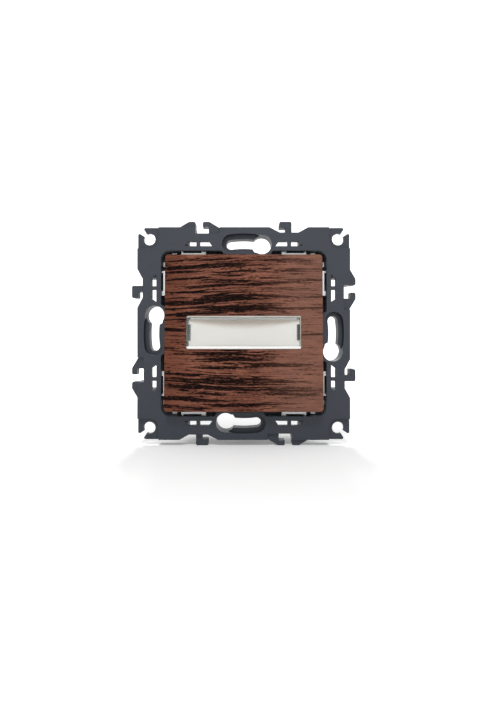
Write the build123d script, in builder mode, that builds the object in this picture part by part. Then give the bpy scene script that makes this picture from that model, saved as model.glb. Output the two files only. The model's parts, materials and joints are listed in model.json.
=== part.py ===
from build123d import *
import os
from math import cos, radians, sin, tan

# Illuminated bell push for a flush wall box, in millimetres.
# X is to the right, Z is up, and the front faces -Y. The wall's surface is y = 0, so a piece's
# distance out from the wall is minus its y, and everything with a negative "out" is in the box.
# The origin is the centre of the frame's screw pattern, on the wall's surface.
# The outline of one side of the frame is written for the top side: x along the side, y outwards.

# Mounting frame
SIDES = 4
frame_rim = 7.9
frame_depth = 7.0
frame_edge_bevel = 0.08
opening_side = 55.2
opening_radius = 3.0
ledge_width = 1.1
ledge_depth = 1.5
pocket_wall = 1.5
pocket_notch_wall = 1.1
frame_skin = 2.0

# Arc screw slots with a round entry, for box screws on a 60 mm pitch
slot_set_out = 2.75
slot_half_width = 1.65
slot_end_angle = 8.0
slot_entry_angle = 11.5
slot_entry_radius = 3.25
slot_recess_half_width = 3.05
slot_recess_depth = 2.7
slot_boss_wall = 1.05

# Claw pair that takes a neighbour's hook, and the frame's own hook
hook_recess = 1.0
hook_thickness = 3.8
hook_overhang = 2.0
hook_corner_radius = 0.6
notch_depth = 2.1
notch_left = -16.15
notch_right = -11.75
left_claw_start = -21.75
left_claw_top = -18.35
right_claw_end = -8.05
right_claw_drop = 0.1
right_claw_top = -11.55
claw_lip_left = -13.75
claw_lip_thickness = 1.68
dip_depth = 1.78
dip_start = 8.6
dip_floor_start = 12.0
dip_floor_end = 18.25
dip_end = 21.5
hook_stem_left = 14.0
hook_stem_right = 16.02
hook_head_left = 11.9
hook_head_thickness = 2.05
hook_root_depth = 2.5

# Pairs of small slots beside each arc slot
small_slot_set_out = 1.55
small_slot_height = 1.55
small_slot_slant = 1.1
inner_slot_start = 10.5
inner_slot_end = 14.6
outer_slot_start = 15.8
outer_slot_end = 19.8
outer_slot_ramp = 1.2

# Slit ears at the frame's corners
ear_side = 7.05
ear_thickness = 1.5
ear_recess = 1.4
ear_hole_inset = 3.84
ear_hole_radius = 1.97
ear_relief_radius = 2.75
ear_slit_half_width = 0.6
ear_slit_flare = 13.0
ear_corner_radius = 0.5
ear_overlap = 0.5

# Hollows in the frame's back, beside the ears
pocket_corner_gap = 0.6
pocket_width = 6.0

# Small gussets in the gap between the plate and the frame
gusset_corner_gap = 5.85
gusset_thickness = 0.6
gusset_rise = 3.0

# Rocking push plate, tilted at rest with its lower edge out
plate_side_gap = 1.6
plate_end_gap = 1.75
plate_corner_radius = 1.1
plate_sheet = 1.2
plate_edge_round = 0.35
plate_out = 10.0
pivot_out = 3.3
rest_tilt = 3.25
pressed_tilt = 2.0
plate_rim_inset = 0.8
plate_rim_wall = 1.0
plate_rim_radius = 1.6
plate_rim_depth = 1.65
plate_hook_x = 16.0
plate_hook_inset = 2.85
plate_hook_width = 3.0
plate_hook_thickness = 1.1
plate_hook_nose = 0.5
plate_hook_nose_height = 0.7

# Name window in the plate
window_width = 37.7
window_height = 11.0
window_radius = 0.6
cover_gap = 0.1
cover_proud = 0.2
cover_pane = 0.7
cover_wall = 0.4
cover_leg_thickness = 1.0
cover_leg_height = 5.0
cover_leg_reach = 2.6
label_side_gap = 0.15
label_low_gap = 0.1
label_high_gap = 0.7
label_thickness = 0.2
label_bow = 1.3
label_shift = 0.1
label_notch = 0.85
label_notch_height = 5.3
label_under_pane = 0.2
cradle_window_gap = 0.2

# Cradle that carries the plate
cradle_rim_gap = 1.2
cradle_thickness = 2.0
cradle_radius = 3.0
arm_window_gap = 0.9
arm_thickness = 1.6
arm_end_radius = 2.0
trunnion_radius = 1.25
trunnion_gap = 0.05
trunnion_end_gap = 0.2
tongue_width = 6.0
tongue_thickness = 3.0

# Milky block behind the label
diffuser_gap = 0.15
diffuser_side_gap = 0.25
diffuser_flange = 1.3
diffuser_flange_thickness = 1.0

# White clip ring
ring_seat_gap = 0.3
ring_post_gap = 0.05
ring_radius = 2.0
ring_base_thickness = 1.4
ring_wall_thickness = 1.0
ring_wall_start = 12.2
ring_wall_end = 24.6
ring_wall_top = 5.0
eye_start = 12.8
eye_end = 21.0
eye_band_reach = 0.9
eye_post_reach = 1.1
eye_inner_end = 1.5
eye_outer_end = 0.5
eye_front = 5.0
eye_band_proud = 0.3
eye_rail_inset = 0.3
eye_rail_width = 0.85
eye_rail_top = 6.0
eye_foot = 1.9
eye_frame_gap = 0.2
nose_place = 23.5
nose_width = 1.5
nose_reach = 1.15
nose_front = 3.6
bearing_ear_gap = 0.4
bearing_ear_thickness = 1.7
bearing_ear_radius = 2.3
stop_post_x = 12.0
stop_post_width = 3.0
stop_post_inset = 0.1
stop_post_depth = 1.1
stop_gap = 0.1

# Housing behind the frame
housing_side = 43.0
housing_depth = 22.0
housing_wall = 1.6
housing_floor = 2.0
housing_corner_radius = 4.0
flange_thickness = 1.0
seat_gap = 0.3
stop_lug_start = -6.0
stop_lug_end = 1.0
stop_lug_wall = 1.1
deck_rebate = 0.6
deck_post_side = 4.4
partition_gap = 0.9
partition_wall = 1.0
wire_entry_radius = 1.8
wire_entry_funnel = 0.8
vent_slot_width = 1.2
vent_slot_length = 9.0
vent_slot_pitch = 2.8
vent_slot_count = 3
fit_gap = 0.02

# Deck that closes the housing's mouth
deck_thickness = 1.8
deck_front = 1.0
deck_side_gap = 0.2
guide_radius = 3.8
guide_height = 1.2
deck_screw_inset = 2.5
deck_screw_z = 5.0
deck_screw_radius = 0.95
deck_screw_length = 7.0
deck_screw_head_radius = 1.7
deck_screw_head_height = 1.0
board_pin_radius = 0.6
board_post_radius = 1.2
board_post_height = 1.2

# Plunger, bridge and contacts
plunger_z = -14.0
plunger_head_radius = 3.5
plunger_head_thickness = 1.2
plunger_head_out = 5.4
plunger_stem_radius = 2.0
plunger_running_gap = 0.05
plunger_collar_radius = 3.2
plunger_collar_thickness = 1.4
plunger_collar_gap = 0.2
tongue_gap = 0.12
bridge_out = -6.0
bridge_length = 16.0
bridge_width = 4.0
bridge_thickness = 0.6
spigot_radius = 1.2
spigot_length = 2.2
contact_place = 6.5
contact_tip_radius = 1.3
contact_tip_height = 0.6
contact_closed_gap = 0.03
contact_strip_thickness = 0.8
contact_strip_width = 5.0
contact_strip_inner = 4.6
contact_strip_end_gap = 0.7

# Return spring
spring_mean_radius = 2.05
spring_wire = 0.5
spring_turns = 8
spring_post_radius = 1.5
spring_post_height = 6.0

# Terminals
terminal_inset = 4.3
terminal_z = 13.5
clamp_length = 7.0
clamp_width = 8.0
clamp_bore = 4.2
clamp_screw_out = -15.0
clamp_screw_radius = 1.5
clamp_screw_reach = 3.3
clamp_screw_head_radius = 2.3
clamp_screw_head_height = 1.4
clamp_screw_slot = 0.6
clamp_screw_slot_depth = 0.7
screw_access_radius = 2.6

# Lamp
board_overhang = 3.0
board_height = 21.0
board_z = 6.0
board_thickness = 1.0
board_pin_inset = 1.6
board_pin_spread = 5.0
lamp_inset = 5.0
lamp_radius = 1.5
lamp_height = 5.3
lamp_rim_radius = 1.9
lamp_rim_height = 0.6
lamp_lead_spread = 1.27
lamp_lead_radius = 0.25
lamp_lead_below = 0.8
lamp_hole_gap = 0.2
resistor_z = 8.0
resistor_radius = 1.15
resistor_length = 6.4
diode_z = 12.5
diode_radius = 0.95
diode_length = 4.2
axial_lead_radius = 0.3
axial_lead_bend = 0.6
axial_lead_span = 10.2
lead_strip_thickness = 0.6
lead_strip_width = 3.4
lead_leg_inset = 0.4

# Screws that hold the ring to the housing's flange
ring_screw_inset = 2.6
ring_screw_z = 9.5
ring_screw_radius = 1.0
ring_screw_length = 4.2
ring_screw_head_radius = 1.7
ring_screw_head_height = 1.1
ring_screw_boss_radius = 2.1

# Worked out from the sizes above
half_opening = opening_side / 2
half_frame = half_opening + frame_rim
half_ledge = half_opening - ledge_width
half_ring = half_ledge - ring_seat_gap
half_housing = housing_side / 2
frame_side = 2 * half_frame
ring_outer = 2 * half_ring
slot_circle_radius = half_opening + slot_set_out
hook_reach = half_frame + hook_overhang
notch_floor = half_frame - notch_depth
right_claw_shoulder = half_frame - right_claw_drop
claw_lip_under = hook_reach - claw_lip_thickness
dip_floor = half_frame - dip_depth
hook_head_under = hook_reach - hook_head_thickness
hook_root = half_frame - hook_root_depth
small_slot_low = half_opening + small_slot_set_out
small_slot_high = small_slot_low + small_slot_height
ear_start = half_frame - ear_side
ear_hole_place = half_frame - ear_hole_inset
pocket_end = half_opening - pocket_corner_gap
pocket_start = pocket_end - pocket_width
gusset_place = half_opening - gusset_corner_gap
plate_width = opening_side - 2 * plate_side_gap
plate_height = opening_side - 2 * plate_end_gap
cradle_width = plate_width - 2 * (plate_rim_inset + plate_rim_wall + cradle_rim_gap)
cradle_height = plate_height - 2 * (plate_rim_inset + plate_rim_wall + cradle_rim_gap)
plate_hook_z = cradle_height / 2 - plate_hook_inset
stop_post_outer = cradle_height / 2 - stop_post_inset
stop_post_inner = stop_post_outer - stop_post_depth
arm_inner = window_width / 2 + arm_window_gap
arm_outer = arm_inner + arm_thickness
bearing_ear_inner = arm_outer + bearing_ear_gap
bearing_ear_outer = bearing_ear_inner + bearing_ear_thickness
ring_inner_width = 2 * bearing_ear_inner
ring_inner_height = 2 * (stop_post_inner - ring_post_gap)
ring_wall_inner = half_ring - ring_wall_thickness
ring_screw_x = half_ring - ring_screw_inset
cover_width = window_width - 2 * cover_gap
cover_height = window_height - 2 * cover_gap
label_width = cover_width - 2 * (cover_wall + label_side_gap)
label_low = cover_wall + label_low_gap - cover_height / 2
label_high = cover_height / 2 - cover_wall - label_high_gap
housing_inner = half_housing - housing_wall
floor_out = housing_floor - housing_depth
stop_lug_reach = slot_circle_radius - slot_half_width - stop_lug_wall
deck_screw_place = housing_inner - deck_screw_inset
clamp_inner = housing_inner - clamp_length
terminal_x = housing_inner - terminal_inset
clamp_screw_tip = housing_inner - clamp_screw_reach
contact_strip_outer = housing_inner - contact_strip_end_gap
partition_place = clamp_inner - partition_gap - partition_wall
lead_leg_place = partition_place + lead_leg_inset
board_half_width = partition_place + board_overhang
board_pin_x = board_half_width - board_pin_inset
lamp_x = board_half_width - lamp_inset
eye_band = half_ring + eye_band_reach
eye_reach = eye_band + eye_post_reach
eye_rail_outer = eye_band - eye_rail_inset
slot_ramp_foot = outer_slot_end - outer_slot_ramp
deck_back = deck_front - deck_thickness
press_angle = rest_tilt + pressed_tilt
plunger_travel = -plunger_z * radians(press_angle)
plate_front = plate_out - pivot_out
plate_back = plate_front - plate_sheet
cradle_back = plate_back - cradle_thickness
cover_front = plate_front + cover_proud
pane_back = cover_front - cover_pane
label_end = pane_back - label_under_pane
bridge_back = bridge_out - bridge_thickness
fixed_tip_front = bridge_back - contact_tip_height - plunger_travel - contact_closed_gap
strip_front = fixed_tip_front - contact_tip_height
clamp_front = strip_front - contact_strip_thickness
board_front = deck_back - board_post_height
board_back = board_front - board_thickness

TERMINALS = [(x, z) for x in (-terminal_x, terminal_x) for z in (-terminal_z, terminal_z)]
SIGNS = (-1, 1)


def wall_plane(out):
    """Sketch plane parallel to the wall, this far out from it, with x right and y up."""
    return Plane.XZ.offset(out)


# The rocking pieces are drawn square to the tilted plate. Its plane holds the pivot's axis.
ROCKER = wall_plane(pivot_out).rotated((-rest_tilt, 0, 0))


def rocker_plane(front):
    """Sketch plane parallel to the push plate, this far in front of the pivot's axis."""
    return ROCKER.offset(front)


def rocker_side_plane(x):
    """Plane square to the pivot's axis: x is up the plate and y is towards its front."""
    return Plane(ROCKER.from_local_coords((x, 0, 0)), x_dir=ROCKER.y_dir, z_dir=(1, 0, 0))


def rocker_level_plane(height):
    """Plane square to the plate across its width: x is to the right and y is away from the front."""
    return Plane(ROCKER.from_local_coords((0, height, 0)), x_dir=(1, 0, 0), z_dir=ROCKER.y_dir)


slot_arc = CenterArc((0, 0), slot_circle_radius, 90 - slot_entry_angle, slot_entry_angle + slot_end_angle)


def arc_slots(half_width, entry_radius, mode=Mode.ADD):
    """The four arc slots with a round entry at the clockwise end of each."""
    with PolarLocations(0, SIDES):
        SlotArc(slot_arc, 2 * half_width, mode=mode)
    with PolarLocations(slot_circle_radius, SIDES, start_angle=90 - slot_entry_angle):
        Circle(entry_radius, mode=mode)


def slot_bosses(extra=0.0, mode=Mode.ADD):
    """The outline of the walls round the arc slots, with room round it if extra is given."""
    arc_slots(
        slot_recess_half_width + slot_boss_wall + extra,
        slot_entry_radius + slot_boss_wall + extra,
        mode,
    )


# What one side adds to the frame. Here x is along the side, y outwards and z out from the wall.
with BuildPart() as side_additions:
    # Claws and hook, a step behind the main face
    with BuildSketch(Plane.XY.offset(frame_depth - hook_recess - hook_thickness)) as hooks:
        Polygon(
            (left_claw_start, half_frame),
            (left_claw_top, hook_reach),
            (notch_left, hook_reach),
            (notch_left, notch_floor),
            (left_claw_start, notch_floor),
            align=None,
        )
        Polygon(
            (right_claw_end, hook_root),
            (right_claw_end, right_claw_shoulder),
            (right_claw_top, hook_reach),
            (claw_lip_left, hook_reach),
            (claw_lip_left, claw_lip_under),
            (notch_right, claw_lip_under),
            (notch_right, hook_root),
            align=None,
        )
        Polygon(
            (hook_stem_right, hook_root),
            (hook_stem_right, hook_reach),
            (hook_head_left, hook_reach),
            (hook_head_left, hook_head_under),
            (hook_stem_left, hook_head_under),
            (hook_stem_left, hook_root),
            align=None,
        )
        fillet(hooks.vertices().group_by(Axis.Y)[-1], hook_corner_radius)
    extrude(amount=hook_thickness)
    # Slit ear
    slit_start = ear_hole_radius / 2
    slit_end = 2 * (half_frame - ear_hole_place)
    slit_flare = (slit_end - ear_hole_radius) * tan(radians(ear_slit_flare))
    with BuildSketch(Plane.XY.offset(frame_depth - ear_recess - ear_thickness)) as ear:
        with Locations((ear_start - ear_overlap, ear_start - ear_overlap)):
            Rectangle(
                half_frame - ear_start + ear_overlap,
                half_frame - ear_start + ear_overlap,
                align=(Align.MIN, Align.MIN),
            )
        with Locations(Location((ear_hole_place, ear_hole_place), 45)):
            Polygon(
                (slit_start, -ear_slit_half_width),
                (ear_hole_radius, -ear_slit_half_width),
                (slit_end, -ear_slit_half_width - slit_flare),
                (slit_end, ear_slit_half_width + slit_flare),
                (ear_hole_radius, ear_slit_half_width),
                (slit_start, ear_slit_half_width),
                align=None,
                mode=Mode.SUBTRACT,
            )
        with Locations((ear_hole_place, ear_hole_place)):
            Circle(ear_hole_radius, mode=Mode.SUBTRACT)
        mouth_corners = ear.vertices().sort_by(lambda v: v.X + v.Y)[-2:]
        fillet(mouth_corners, ear_corner_radius)
    extrude(amount=ear_thickness)
    # Gussets on the ledge, beside the corners
    for sign in SIGNS:
        with BuildSketch(Plane.YZ.offset(sign * gusset_place - gusset_thickness / 2)):
            Polygon(
                (half_ledge + eye_frame_gap, ledge_depth / 2),
                (half_opening + eye_frame_gap, ledge_depth / 2),
                (half_opening + eye_frame_gap, ledge_depth + gusset_rise),
                (half_opening, ledge_depth + gusset_rise),
                (half_ledge + eye_frame_gap, ledge_depth),
                align=None,
            )
        extrude(amount=gusset_thickness)

# What is cut from the frame on one side
with BuildPart() as side_cuts:
    for sign in SIGNS:
        # Inner small slot, straight through
        with BuildSketch(Plane.XY.offset(frame_depth - frame_skin)):
            Polygon(
                (sign * inner_slot_start, small_slot_low),
                (sign * inner_slot_end, small_slot_low),
                (sign * inner_slot_end, small_slot_high),
                (sign * (inner_slot_start + small_slot_slant), small_slot_high),
                align=None,
            )
        extrude(amount=frame_skin)
        # Outer small slot, whose outer end is a ramp down to the back
        for out, end in ((0, slot_ramp_foot), (frame_depth, outer_slot_end)):
            with BuildSketch(Plane.XY.offset(out)):
                Polygon(
                    (sign * outer_slot_start, small_slot_low),
                    (sign * end, small_slot_low),
                    (sign * (end - small_slot_slant), small_slot_high),
                    (sign * outer_slot_start, small_slot_high),
                    align=None,
                )
        loft()
    with BuildSketch(Plane.XY.offset(ledge_depth)):
        # Undercuts behind the front skin, for the eyes of the clip ring
        with GridLocations(eye_start + eye_end, 0, 2, 1):
            with Locations((0, half_ledge)):
                Rectangle(
                    eye_end - eye_start + 2 * eye_frame_gap,
                    eye_reach + eye_frame_gap - half_ledge,
                    align=(Align.CENTER, Align.MIN),
                )
    extrude(amount=eye_front + eye_frame_gap - ledge_depth)
    with BuildSketch(Plane.XY):
        # Hollows in the back
        with GridLocations(pocket_start + pocket_end, 0, 2, 1):
            with Locations((0, small_slot_low)):
                Rectangle(
                    pocket_end - pocket_start,
                    half_frame - pocket_wall - small_slot_low,
                    align=(Align.CENTER, Align.MIN),
                )
        with GridLocations(inner_slot_start + slot_ramp_foot, 0, 2, 1):
            with Locations((0, small_slot_low)):
                Rectangle(
                    slot_ramp_foot - inner_slot_start,
                    notch_floor - pocket_notch_wall - small_slot_low,
                    align=(Align.CENTER, Align.MIN),
                )
    extrude(amount=frame_depth - frame_skin)
    # Notch that takes the housing's lug
    with BuildSketch(Plane.XY):
        Polygon(
            (stop_lug_start - seat_gap, housing_inner),
            (stop_lug_end + seat_gap, housing_inner),
            (stop_lug_end + seat_gap, stop_lug_reach + seat_gap),
            (stop_lug_start - seat_gap, stop_lug_reach + seat_gap),
            align=None,
        )
    extrude(amount=flange_thickness)

# Mounting frame
with BuildPart(Plane.XZ) as mounting_frame:
    with BuildSketch(wall_plane(0)):
        Rectangle(frame_side, frame_side)
        RectangleRounded(opening_side, opening_side, opening_radius, mode=Mode.SUBTRACT)
        slot_bosses()
        with PolarLocations(0, SIDES):
            Polygon(
                (notch_left, notch_floor),
                (right_claw_end, notch_floor),
                (right_claw_end, half_frame + 1),
                (notch_left, half_frame + 1),
                align=None,
                mode=Mode.SUBTRACT,
            )
            Polygon(
                (dip_start, half_frame),
                (dip_floor_start, dip_floor),
                (dip_floor_end, dip_floor),
                (dip_end, half_frame),
                (dip_end, half_frame + 1),
                (dip_start, half_frame + 1),
                align=None,
                mode=Mode.SUBTRACT,
            )
            Polygon(
                (ear_start, ear_start + ear_relief_radius),
                (ear_start + ear_relief_radius, ear_start),
                (half_frame + 1, ear_start),
                (half_frame + 1, half_frame + 1),
                (ear_start, half_frame + 1),
                align=None,
                mode=Mode.SUBTRACT,
            )
            with Locations((ear_start + ear_relief_radius, ear_start + ear_relief_radius)):
                Circle(ear_relief_radius, mode=Mode.SUBTRACT)
    extrude(amount=frame_depth)
    chamfer(faces().sort_by(Axis.Y)[0].edges(), frame_edge_bevel)
    # Ledge round the opening, low in the gap
    with BuildSketch(wall_plane(0)):
        RectangleRounded(opening_side + 1, opening_side + 1, opening_radius)
        RectangleRounded(2 * half_ledge, 2 * half_ledge, opening_radius - ledge_width, mode=Mode.SUBTRACT)
    extrude(amount=ledge_depth)
    with PolarLocations(0, SIDES):
        add(side_additions.part)
    # Arc slots: recess from the front, slot and round entry right through
    with BuildSketch(wall_plane(frame_depth)):
        arc_slots(slot_recess_half_width, slot_entry_radius)
    extrude(amount=-slot_recess_depth, mode=Mode.SUBTRACT)
    with BuildSketch(wall_plane(0)):
        arc_slots(slot_half_width, slot_entry_radius)
    extrude(amount=frame_depth, mode=Mode.SUBTRACT)
    with PolarLocations(0, SIDES):
        add(side_cuts.part, mode=Mode.SUBTRACT)
mounting_frame.part.label = "mounting_frame"

# One side of the clip ring: walls, eyes and noses, with x along the side and z out from the wall
with BuildPart() as ring_side:
    with BuildSketch(Plane.XY.offset(flange_thickness)):
        with GridLocations(ring_wall_start + ring_wall_end, 0, 2, 1):
            with Locations((0, ring_wall_inner)):
                Rectangle(
                    ring_wall_end - ring_wall_start,
                    half_ring - ring_wall_inner,
                    align=(Align.CENTER, Align.MIN),
                )
    extrude(amount=ring_wall_top - flange_thickness)
    # Eyes for the prongs of the surround
    with BuildSketch(Plane.XY.offset(eye_foot)):
        with GridLocations(eye_start + eye_end, 0, 2, 1):
            with Locations((0, half_ring)):
                Rectangle(eye_end - eye_start, eye_reach - half_ring, align=(Align.CENTER, Align.MIN))
        for sign in SIGNS:
            Polygon(
                (sign * (eye_start + eye_inner_end), eye_band),
                (sign * (eye_end - eye_outer_end), eye_band),
                (sign * (eye_end - eye_outer_end), eye_reach),
                (sign * (eye_start + eye_inner_end), eye_reach),
                align=None,
                mode=Mode.SUBTRACT,
            )
    extrude(amount=eye_front - eye_foot)
    # The band next to the plate stands a little higher
    with BuildSketch(Plane.XY.offset(ring_wall_top - eye_band_proud)):
        with GridLocations(eye_start + eye_end, 0, 2, 1):
            with Locations((0, ring_wall_inner)):
                Rectangle(eye_end - eye_start, eye_band - ring_wall_inner, align=(Align.CENTER, Align.MIN))
    extrude(amount=2 * eye_band_proud)
    # Rail along the band, where it shows beside the plate
    with BuildSketch(Plane.XY.offset(ring_wall_top)):
        with GridLocations(eye_start + eye_end, 0, 2, 1):
            with Locations((0, eye_rail_outer)):
                Rectangle(eye_end - eye_start, eye_rail_width, align=(Align.CENTER, Align.MAX))
    extrude(amount=eye_rail_top - ring_wall_top)
    # Snap noses over the frame's ledge
    with BuildSketch(Plane.XY.offset(ledge_depth)):
        with GridLocations(2 * nose_place, 0, 2, 1):
            with Locations((0, ring_wall_inner)):
                Rectangle(
                    nose_width,
                    half_ring + nose_reach - ring_wall_inner,
                    align=(Align.CENTER, Align.MIN),
                )
    extrude(amount=nose_front - ledge_depth)

# White clip ring
with BuildPart(Plane.XZ) as clip_ring:
    with BuildSketch(wall_plane(flange_thickness)):
        RectangleRounded(ring_outer, ring_outer, ring_radius)
        slot_bosses(seat_gap, mode=Mode.SUBTRACT)
        RectangleRounded(ring_inner_width, ring_inner_height, ring_radius, mode=Mode.SUBTRACT)
    extrude(amount=ring_base_thickness)
    with PolarLocations(0, SIDES):
        add(ring_side.part)
    # Stop posts for the cradle: low at the top, high at the bottom
    for sign, tilt in ((1, radians(rest_tilt)), (-1, radians(pressed_tilt))):
        post_top = pivot_out + cradle_back * cos(tilt) - stop_post_outer * sin(tilt) - stop_gap
        with BuildSketch(wall_plane(flange_thickness)):
            with GridLocations(2 * stop_post_x, 0, 2, 1):
                with Locations((0, sign * (stop_post_inner + stop_post_outer) / 2)):
                    Rectangle(stop_post_width, stop_post_outer - stop_post_inner)
        extrude(amount=post_top - flange_thickness)
    # Bosses for the screws from the housing's flange
    with BuildSketch(wall_plane(flange_thickness)):
        with GridLocations(2 * ring_screw_x, 2 * ring_screw_z, 2, 2):
            Circle(ring_screw_boss_radius)
    extrude(amount=ring_wall_top - flange_thickness)
    with BuildSketch(wall_plane(flange_thickness)):
        with GridLocations(2 * ring_screw_x, 2 * ring_screw_z, 2, 2):
            Circle(ring_screw_radius + fit_gap)
    extrude(amount=ring_screw_length + fit_gap - flange_thickness, mode=Mode.SUBTRACT)
    # Bearing ears for the cradle's trunnions
    for sign in SIGNS:
        with BuildSketch(Plane.YZ.offset(sign * bearing_ear_inner)):
            with Locations((-pivot_out, 0)):
                Circle(bearing_ear_radius)
            with Locations((-flange_thickness, 0)):
                Rectangle(
                    pivot_out - flange_thickness,
                    2 * bearing_ear_radius,
                    align=(Align.MAX, Align.CENTER),
                )
        extrude(amount=sign * (bearing_ear_outer - bearing_ear_inner))
        with BuildSketch(Plane.YZ.offset(sign * bearing_ear_inner)):
            with Locations((-pivot_out, 0)):
                Circle(trunnion_radius + trunnion_gap)
        extrude(amount=sign * (bearing_ear_outer - bearing_ear_inner), mode=Mode.SUBTRACT)
clip_ring.part.label = "clip_ring"

# Push plate
with BuildPart() as push_plate:
    with BuildSketch(rocker_plane(plate_back)):
        RectangleRounded(plate_width, plate_height, plate_corner_radius)
    extrude(amount=plate_sheet)
    fillet(faces().sort_by(Axis.Y)[0].edges(), plate_edge_round)
    rim_width = plate_width - 2 * plate_rim_inset
    rim_height = plate_height - 2 * plate_rim_inset
    with BuildSketch(rocker_plane(plate_back)):
        RectangleRounded(rim_width, rim_height, plate_rim_radius)
        RectangleRounded(
            rim_width - 2 * plate_rim_wall,
            rim_height - 2 * plate_rim_wall,
            plate_rim_radius - plate_rim_wall,
            mode=Mode.SUBTRACT,
        )
    extrude(amount=-plate_rim_depth)
    # Hooks that snap behind the cradle
    for x_sign in SIGNS:
        for z_sign in SIGNS:
            with BuildSketch(rocker_side_plane(x_sign * plate_hook_x - plate_hook_width / 2)):
                Polygon(
                    (z_sign * plate_hook_z, plate_back),
                    (z_sign * (plate_hook_z + plate_hook_thickness), plate_back),
                    (z_sign * (plate_hook_z + plate_hook_thickness), cradle_back),
                    (z_sign * (plate_hook_z + plate_hook_thickness + plate_hook_nose), cradle_back),
                    (z_sign * (plate_hook_z + plate_hook_thickness), cradle_back - plate_hook_nose_height),
                    (z_sign * plate_hook_z, cradle_back - plate_hook_nose_height),
                    align=None,
                )
            extrude(amount=plate_hook_width)
    with BuildSketch(rocker_plane(plate_back)):
        RectangleRounded(window_width, window_height, window_radius)
    extrude(amount=plate_sheet, mode=Mode.SUBTRACT)
push_plate.part.label = "push_plate"

# Clear window cover
with BuildPart() as window_cover:
    with BuildSketch(rocker_plane(plate_back + cover_gap)):
        RectangleRounded(cover_width, cover_height, window_radius)
    extrude(amount=cover_front - plate_back - cover_gap)
    with BuildSketch(rocker_plane(plate_back)):
        Rectangle(cover_width - 2 * cover_wall, cover_height - 2 * cover_wall)
    extrude(amount=pane_back - plate_back, mode=Mode.SUBTRACT)
    with BuildSketch(rocker_plane(cover_leg_reach)):
        for sign in SIGNS:
            with Locations((sign * (cover_width - cover_leg_thickness) / 2, 0)):
                Rectangle(cover_leg_thickness, cover_leg_height)
    extrude(amount=pane_back - cover_leg_reach)
window_cover.part.label = "window_cover"


def bowed_strip(height, middle, half_length, front, bow, thickness):
    """A strip seen from its edge, bowed back in the middle, on a level plane of the rocker."""
    back = thickness - front
    left = middle - half_length
    right = middle + half_length
    with BuildSketch(rocker_level_plane(height)) as strip:
        with BuildLine():
            ThreePointArc((left, -front), (middle, bow - front), (right, -front))
            Line((right, -front), (right, back))
            ThreePointArc((right, back), (middle, bow + back), (left, back))
            Line((left, back), (left, -front))
        make_face()
    return strip.sketch


# Name label
with BuildPart() as name_label:
    extrude(
        bowed_strip(label_low, label_shift, label_width / 2, label_end, label_bow, label_thickness),
        amount=label_high - label_low,
    )
    with BuildSketch(rocker_plane(0)):
        for sign in SIGNS:
            with Locations((label_shift + sign * label_width / 2, 0)):
                Rectangle(2 * label_notch, label_notch_height)
    extrude(amount=cover_front, mode=Mode.SUBTRACT)
name_label.part.label = "name_label"

# Milky block behind the label
leg_inner = cover_width / 2 - cover_leg_thickness
diffuser_half = leg_inner - diffuser_side_gap
diffuser_height = -2 * label_low
with BuildPart() as light_diffuser:
    with BuildSketch(rocker_plane(cradle_back)):
        Rectangle(2 * diffuser_half, diffuser_height)
    extrude(amount=label_end - label_thickness - diffuser_gap - cradle_back)
    extrude(
        bowed_strip(
            -diffuser_height,
            label_shift,
            label_width / 2,
            label_end + label_bow,
            label_bow,
            label_thickness + diffuser_gap + label_bow,
        ),
        amount=2 * diffuser_height,
        mode=Mode.SUBTRACT,
    )
    with BuildSketch(rocker_plane(cradle_back)):
        Rectangle(2 * diffuser_half, window_height + 2 * diffuser_flange)
    extrude(amount=-diffuser_flange_thickness)
light_diffuser.part.label = "light_diffuser"

# Cradle with trunnions, tongue and window
tongue_end = (plunger_head_out + tongue_gap - pivot_out + plunger_z * sin(radians(rest_tilt))) / cos(
    radians(rest_tilt)
)
with BuildPart() as rocker_cradle:
    with BuildSketch(rocker_plane(cradle_back)):
        RectangleRounded(cradle_width, cradle_height, cradle_radius)
        Rectangle(
            window_width + 2 * cradle_window_gap,
            window_height + 2 * cradle_window_gap,
            mode=Mode.SUBTRACT,
        )
        for sign in SIGNS:
            slot_depth = plate_hook_thickness + plate_hook_nose + 2 * cover_gap
            with GridLocations(2 * plate_hook_x, 0, 2, 1):
                with Locations((0, sign * (plate_hook_z - cover_gap + slot_depth / 2))):
                    Rectangle(plate_hook_width + 2 * cover_gap, slot_depth, mode=Mode.SUBTRACT)
    extrude(amount=cradle_thickness)
    for sign in SIGNS:
        with BuildSketch(rocker_side_plane(sign * arm_inner)):
            Circle(arm_end_radius)
            with Locations((0, 0)):
                Rectangle(2 * arm_end_radius, cradle_back, align=(Align.CENTER, Align.MIN))
        extrude(amount=sign * arm_thickness)
        with BuildSketch(rocker_side_plane(sign * arm_outer)):
            Circle(trunnion_radius)
        extrude(amount=sign * (bearing_ear_outer - arm_outer - trunnion_end_gap))
        # Stiffening ribs beside the window
        with BuildSketch(rocker_plane(cradle_back)):
            with Locations((0, sign * (window_height / 2 + diffuser_flange + arm_thickness))):
                Rectangle(2 * arm_inner, arm_thickness)
        extrude(amount=-diffuser_flange_thickness)
    with BuildSketch(rocker_plane(tongue_end)):
        with Locations((0, plunger_z)):
            Rectangle(tongue_width, tongue_thickness)
    extrude(amount=cradle_back - tongue_end)
rocker_cradle.part.label = "rocker_cradle"

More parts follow.
